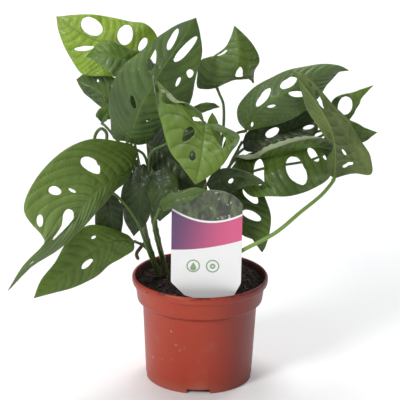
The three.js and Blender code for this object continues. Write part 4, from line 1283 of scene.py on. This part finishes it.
def flat_plan(blade, gap):
    """The blade's flat triangles and its points as (along, across), in metres."""
    left = blade.even_steps(blade.left, gap)
    right = blade.even_steps(blade.right, gap)
    outline = np.vstack([
        blade.flat(left[:-1], np.full(len(left) - 1, -1.0)),
        blade.flat(right[::-1][:-1], np.full(len(right) - 1, 1.0)),
    ])
    outline[0, 1] = 0
    outline[len(left) - 1, 1] = 0
    loops = [outline] + [blade.hole_outline(hole, gap)[0] for hole in blade.holes]
    along_rib = blade.even_steps(blade.rib, gap)[1:-1]
    inner = [np.column_stack([along_rib, np.zeros(len(along_rib))])]
    for offset in (0.6 * MM, 1.5 * MM):
        for side in (-1, 1):
            width = blade.half_width(along_rib, np.full(len(along_rib), side))
            inner.append(np.column_stack([along_rib, side * offset / width]))
    widest = max(blade.half_width(along_rib, np.full(len(along_rib), s)).max() for s in (-1, 1))
    outs = np.linspace(0, 1, max(4, int(widest / gap)))[1:-1]
    for side in (-1, 1):
        veins = blade.veins(side)
        for low, high in zip(veins, veins[1:]):
            for row in ROWS:
                phase = low + (high - low) * row
                sweep = LEAN * outs**1.3
                along = phase * (1 - sweep) + sweep
                inner.append(np.column_stack([along, side * outs]))
    inner = np.vstack(inner)
    inner = inner[(inner[:, 0] > 0.004) & (inner[:, 0] < 0.996) & (np.abs(inner[:, 1]) < 1)]
    width = blade.half_width(inner[:, 0], inner[:, 1])
    clear = (1 - np.abs(inner[:, 1])) * width > 0.45 * gap
    clear &= (np.abs(inner[:, 1]) < 1e-9) | (np.abs(inner[:, 1]) * width > 0.4 * MM)
    inner = blade.flat(inner[clear, 0], inner[clear, 1])
    for loop in loops[1:]:
        away = np.linalg.norm(inner[:, None] - loop[None], axis=2).min(axis=1)
        inner = inner[(away > 0.4 * gap) & ~inside_loop(inner, loop)]
    cell = np.floor(inner / (0.42 * MM)).astype(int)
    _, first = np.unique(cell, axis=0, return_index=True)
    inner = inner[np.sort(first)]
    points = np.vstack(loops + [inner])
    edges = []
    at = 0
    for loop in loops:
        edges += [(at + k, at + (k + 1) % len(loop)) for k in range(len(loop))]
        at += len(loop)
    scale = 1 / MM
    found = delaunay_2d_cdt([Vector(p * scale) for p in points], edges, [], 1, 1e-4)
    flat = np.array([tuple(v) for v in found[0]]) / scale
    triangles = np.array([tuple(f) for f in found[2]])
    middles = flat[triangles].mean(axis=1)
    for loop in loops[1:]:
        keep = ~inside_loop(middles, loop)
        triangles, middles = triangles[keep], middles[keep]
    a, b, c = (flat[triangles[:, k]] for k in range(3))
    turn = (b[:, 0] - a[:, 0]) * (c[:, 1] - a[:, 1]) - (b[:, 1] - a[:, 1]) * (c[:, 0] - a[:, 0])
    triangles[turn < 0] = triangles[turn < 0][:, ::-1]
    return flat, triangles[np.abs(turn) > 1e-13]


def boundary(triangles):
    """Edges that only one triangle has, in its direction."""
    edges = np.vstack([triangles[:, [0, 1]], triangles[:, [1, 2]], triangles[:, [2, 0]]])
    known = {tuple(e) for e in edges.tolist()}
    return [(i, j) for i, j in known if (j, i) not in known]


def edge_mask(triangles, count):
    """Which of the points lie on the outline or on the edge of a hole."""
    mask = np.zeros(count, bool)
    mask[[i for i, j in boundary(triangles)]] = True
    return mask


def rolled(blade, places, along, across, up, roll):
    """Curls a stretch of one margin over towards the upper side."""
    side, first, last, reach, turn = roll
    reach = reach * MM
    width = blade.half_width(along, across)
    rib = blade.rib(along)
    outward = blade.margin(along, across) - rib
    outward /= np.maximum(1e-9, np.linalg.norm(outward, axis=1))[:, None]
    reach = np.minimum(reach, 0.45 * width)
    t = np.clip((np.abs(across) * width - (width - reach)) / reach, 0, 1)
    stretch = np.clip((along - first) / (last - first), 0, 1)
    fade = np.sin(math.pi * stretch) ** 0.35
    on = (np.sign(across) == side) & (t > 0) & (fade > 0.01)
    angle = np.maximum(0.02, turn * fade)
    radius = reach * (1 + 0.8 * fade) / angle
    bent = outward * (radius * np.sin(angle * t))[:, None]
    bent += up * (radius * (1 - np.cos(angle * t)))[:, None]
    plain = outward * (reach * t)[:, None]
    places = places.copy()
    places[on] += (bent - plain)[on]
    return places


def leaf_mesh(name, leaf):
    blade = Blade(leaf)
    gap = leaf.get("grain", 1.5) * MM
    flat, triangles = flat_plan(blade, gap)
    along, across = blade.unflat(flat)
    across = np.clip(across, -1, 1)
    width = blade.half_width(along, across)
    a = np.abs(across)
    places = blade.places(along, across)
    normals = sheet_normals(places, triangles)
    facing = float((normals @ np.array([0, -0.9, 0.42])).sum())
    upward = 1 if (facing > 0) == (leaf.get("seen", "upper") == "upper") else -1

    # relief: the halves arch, the skin swells between sunken veins and crumples, the margin waves
    side = np.where(across < 0, -1, 1)
    vein = np.zeros(len(a))
    swell = np.zeros(len(a))
    for s in (-1, 1):
        own = side == s
        veins = blade.veins(s)
        phase = blade.phase(along[own], across[own])
        k = np.clip(np.searchsorted(veins, phase) - 1, 0, len(veins) - 2)
        low, high = veins[k], veins[k + 1]
        t = np.clip((phase - low) / (high - low), 0, 1)
        near = np.minimum(t, 1 - t) * (high - low) * blade.length
        vein[own] = np.exp(-((near / VEIN_HALF) ** 2))
        swell[own] = 4 * t * (1 - t)
    rib = np.exp(-((a * width / RIB_HALF) ** 2)) * np.clip((1 - along) * 8, 0, 1)
    inward = np.clip(a * width / (4 * MM), 0, 1) * np.clip((1 - a) * width / (3 * MM), 0, 1)
    inward *= np.clip((1 - along) * 3.5, 0.12, 1)
    vein *= np.clip((1 - a) * width / (2.5 * MM), 0, 1)
    wave = leaf.get("wave", 1.0) * MM
    shift = (sum(map(ord, name)) % 7) * 0.9
    lift = 0.055 * width * 4 * a * (1 - a) * np.clip((1 - along) * 5, 0, 1)
    lift = lift + SWELL * (swell - 0.5) * inward * np.clip(width / (14 * MM), 0.2, 1)
    lift = lift - 0.3 * MM * np.clip(rib, 0, 1)
    crumple = rough(flat[:, 0], flat[:, 1], 170, sum(map(ord, name)))
    lift = lift + CRUMPLE * crumple * inward
    ripple = np.sin(along * 15 + shift + side) + 0.6 * np.sin(along * 31 + 2 * shift)
    lift = lift + wave * a**3 * ripple * np.sin(np.clip(along, 0, 1) * math.pi)
    edge_points = edge_mask(triangles, len(a))
    up = normals * upward
    places = places + up * lift[:, None]
    for roll in leaf.get("rolls", []):
        places = rolled(blade, places, along, across, up, roll)
    up = sheet_normals(places, triangles) * upward
    thin = BLADE_T / 2 * np.where(edge_points, 0.7, 1)
    top = places + up * thin[:, None]
    bottom = places - up * (thin + (0.75 * rib + 0.22 * vein) * MM * np.where(edge_points, 0, 1))[:, None]
    if upward < 0:
        triangles = triangles[:, ::-1]
    count = len(a)
    walls = boundary(triangles)
    quads = [(i, i + count, j + count, j) for i, j in walls]
    faces = [tuple(t) for t in triangles] + [tuple(t[::-1] + count) for t in triangles] + quads
    slots = [0] * len(triangles) + [1] * len(triangles) + [0] * len(quads)
    piece = solid("blade_" + name, np.vstack([top, bottom]), faces, [upper_paint, under_paint], slots)

    marks = np.column_stack([rib, vein, edge_points])
    # painted sheen: pale reflected light on each half, growing towards the tip, and strong on rolled strips
    painted_sheen_left, painted_sheen_right = leaf.get("painted_sheen", (0.1, 0.1))
    painted_sheen = np.where(across < 0, painted_sheen_left, painted_sheen_right) * np.clip(a * width / (1.5 * MM), 0, 1)
    painted_sheen = painted_sheen + leaf.get("painted_sheen_tip", 0) * along**2
    for side_rolled, first, last, reach, _ in leaf.get("rolls", []):
        strip = (across * side_rolled * width > width - reach * MM) & (along > first) & (along < last)
        painted_sheen = np.where(strip, 0.8, painted_sheen)
    yellow = np.clip(leaf.get("yellow", 0.15) + 0.14 * np.sin(along * 9 + shift) * a, 0, 1)
    # painted shade: the leaf's own amount, and more towards its base
    shade = leaf.get("shade", 0.0) + leaf.get("dark_base", 0.35) * np.clip(1 - along * 2.4, 0, 1)
    yellow_sheen_shade = np.column_stack([yellow, painted_sheen, np.clip(shade, 0, 0.9)])
    for attribute, values in (("marks", marks), ("yellow_sheen_shade", yellow_sheen_shade)):
        data = piece.data.attributes.new(attribute, "FLOAT_VECTOR", "POINT")
        data.data.foreach_set("vector", np.vstack([values, values]).astype(np.float32).ravel())
    dry = leaf.get("dry", 0.35) * np.clip((along - 0.95) / 0.04, 0, 1)
    data = piece.data.attributes.new("dry", "FLOAT", "POINT")
    data.data.foreach_set("value", np.concatenate([dry, dry]).astype(np.float32))
    return piece


for name, leaf in LEAVES.items():
    piece = leaf_mesh(name, leaf)
    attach(piece, "root")
    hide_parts("leaf_" + name)
    "young_leaf" if name == "young" else "leaf"
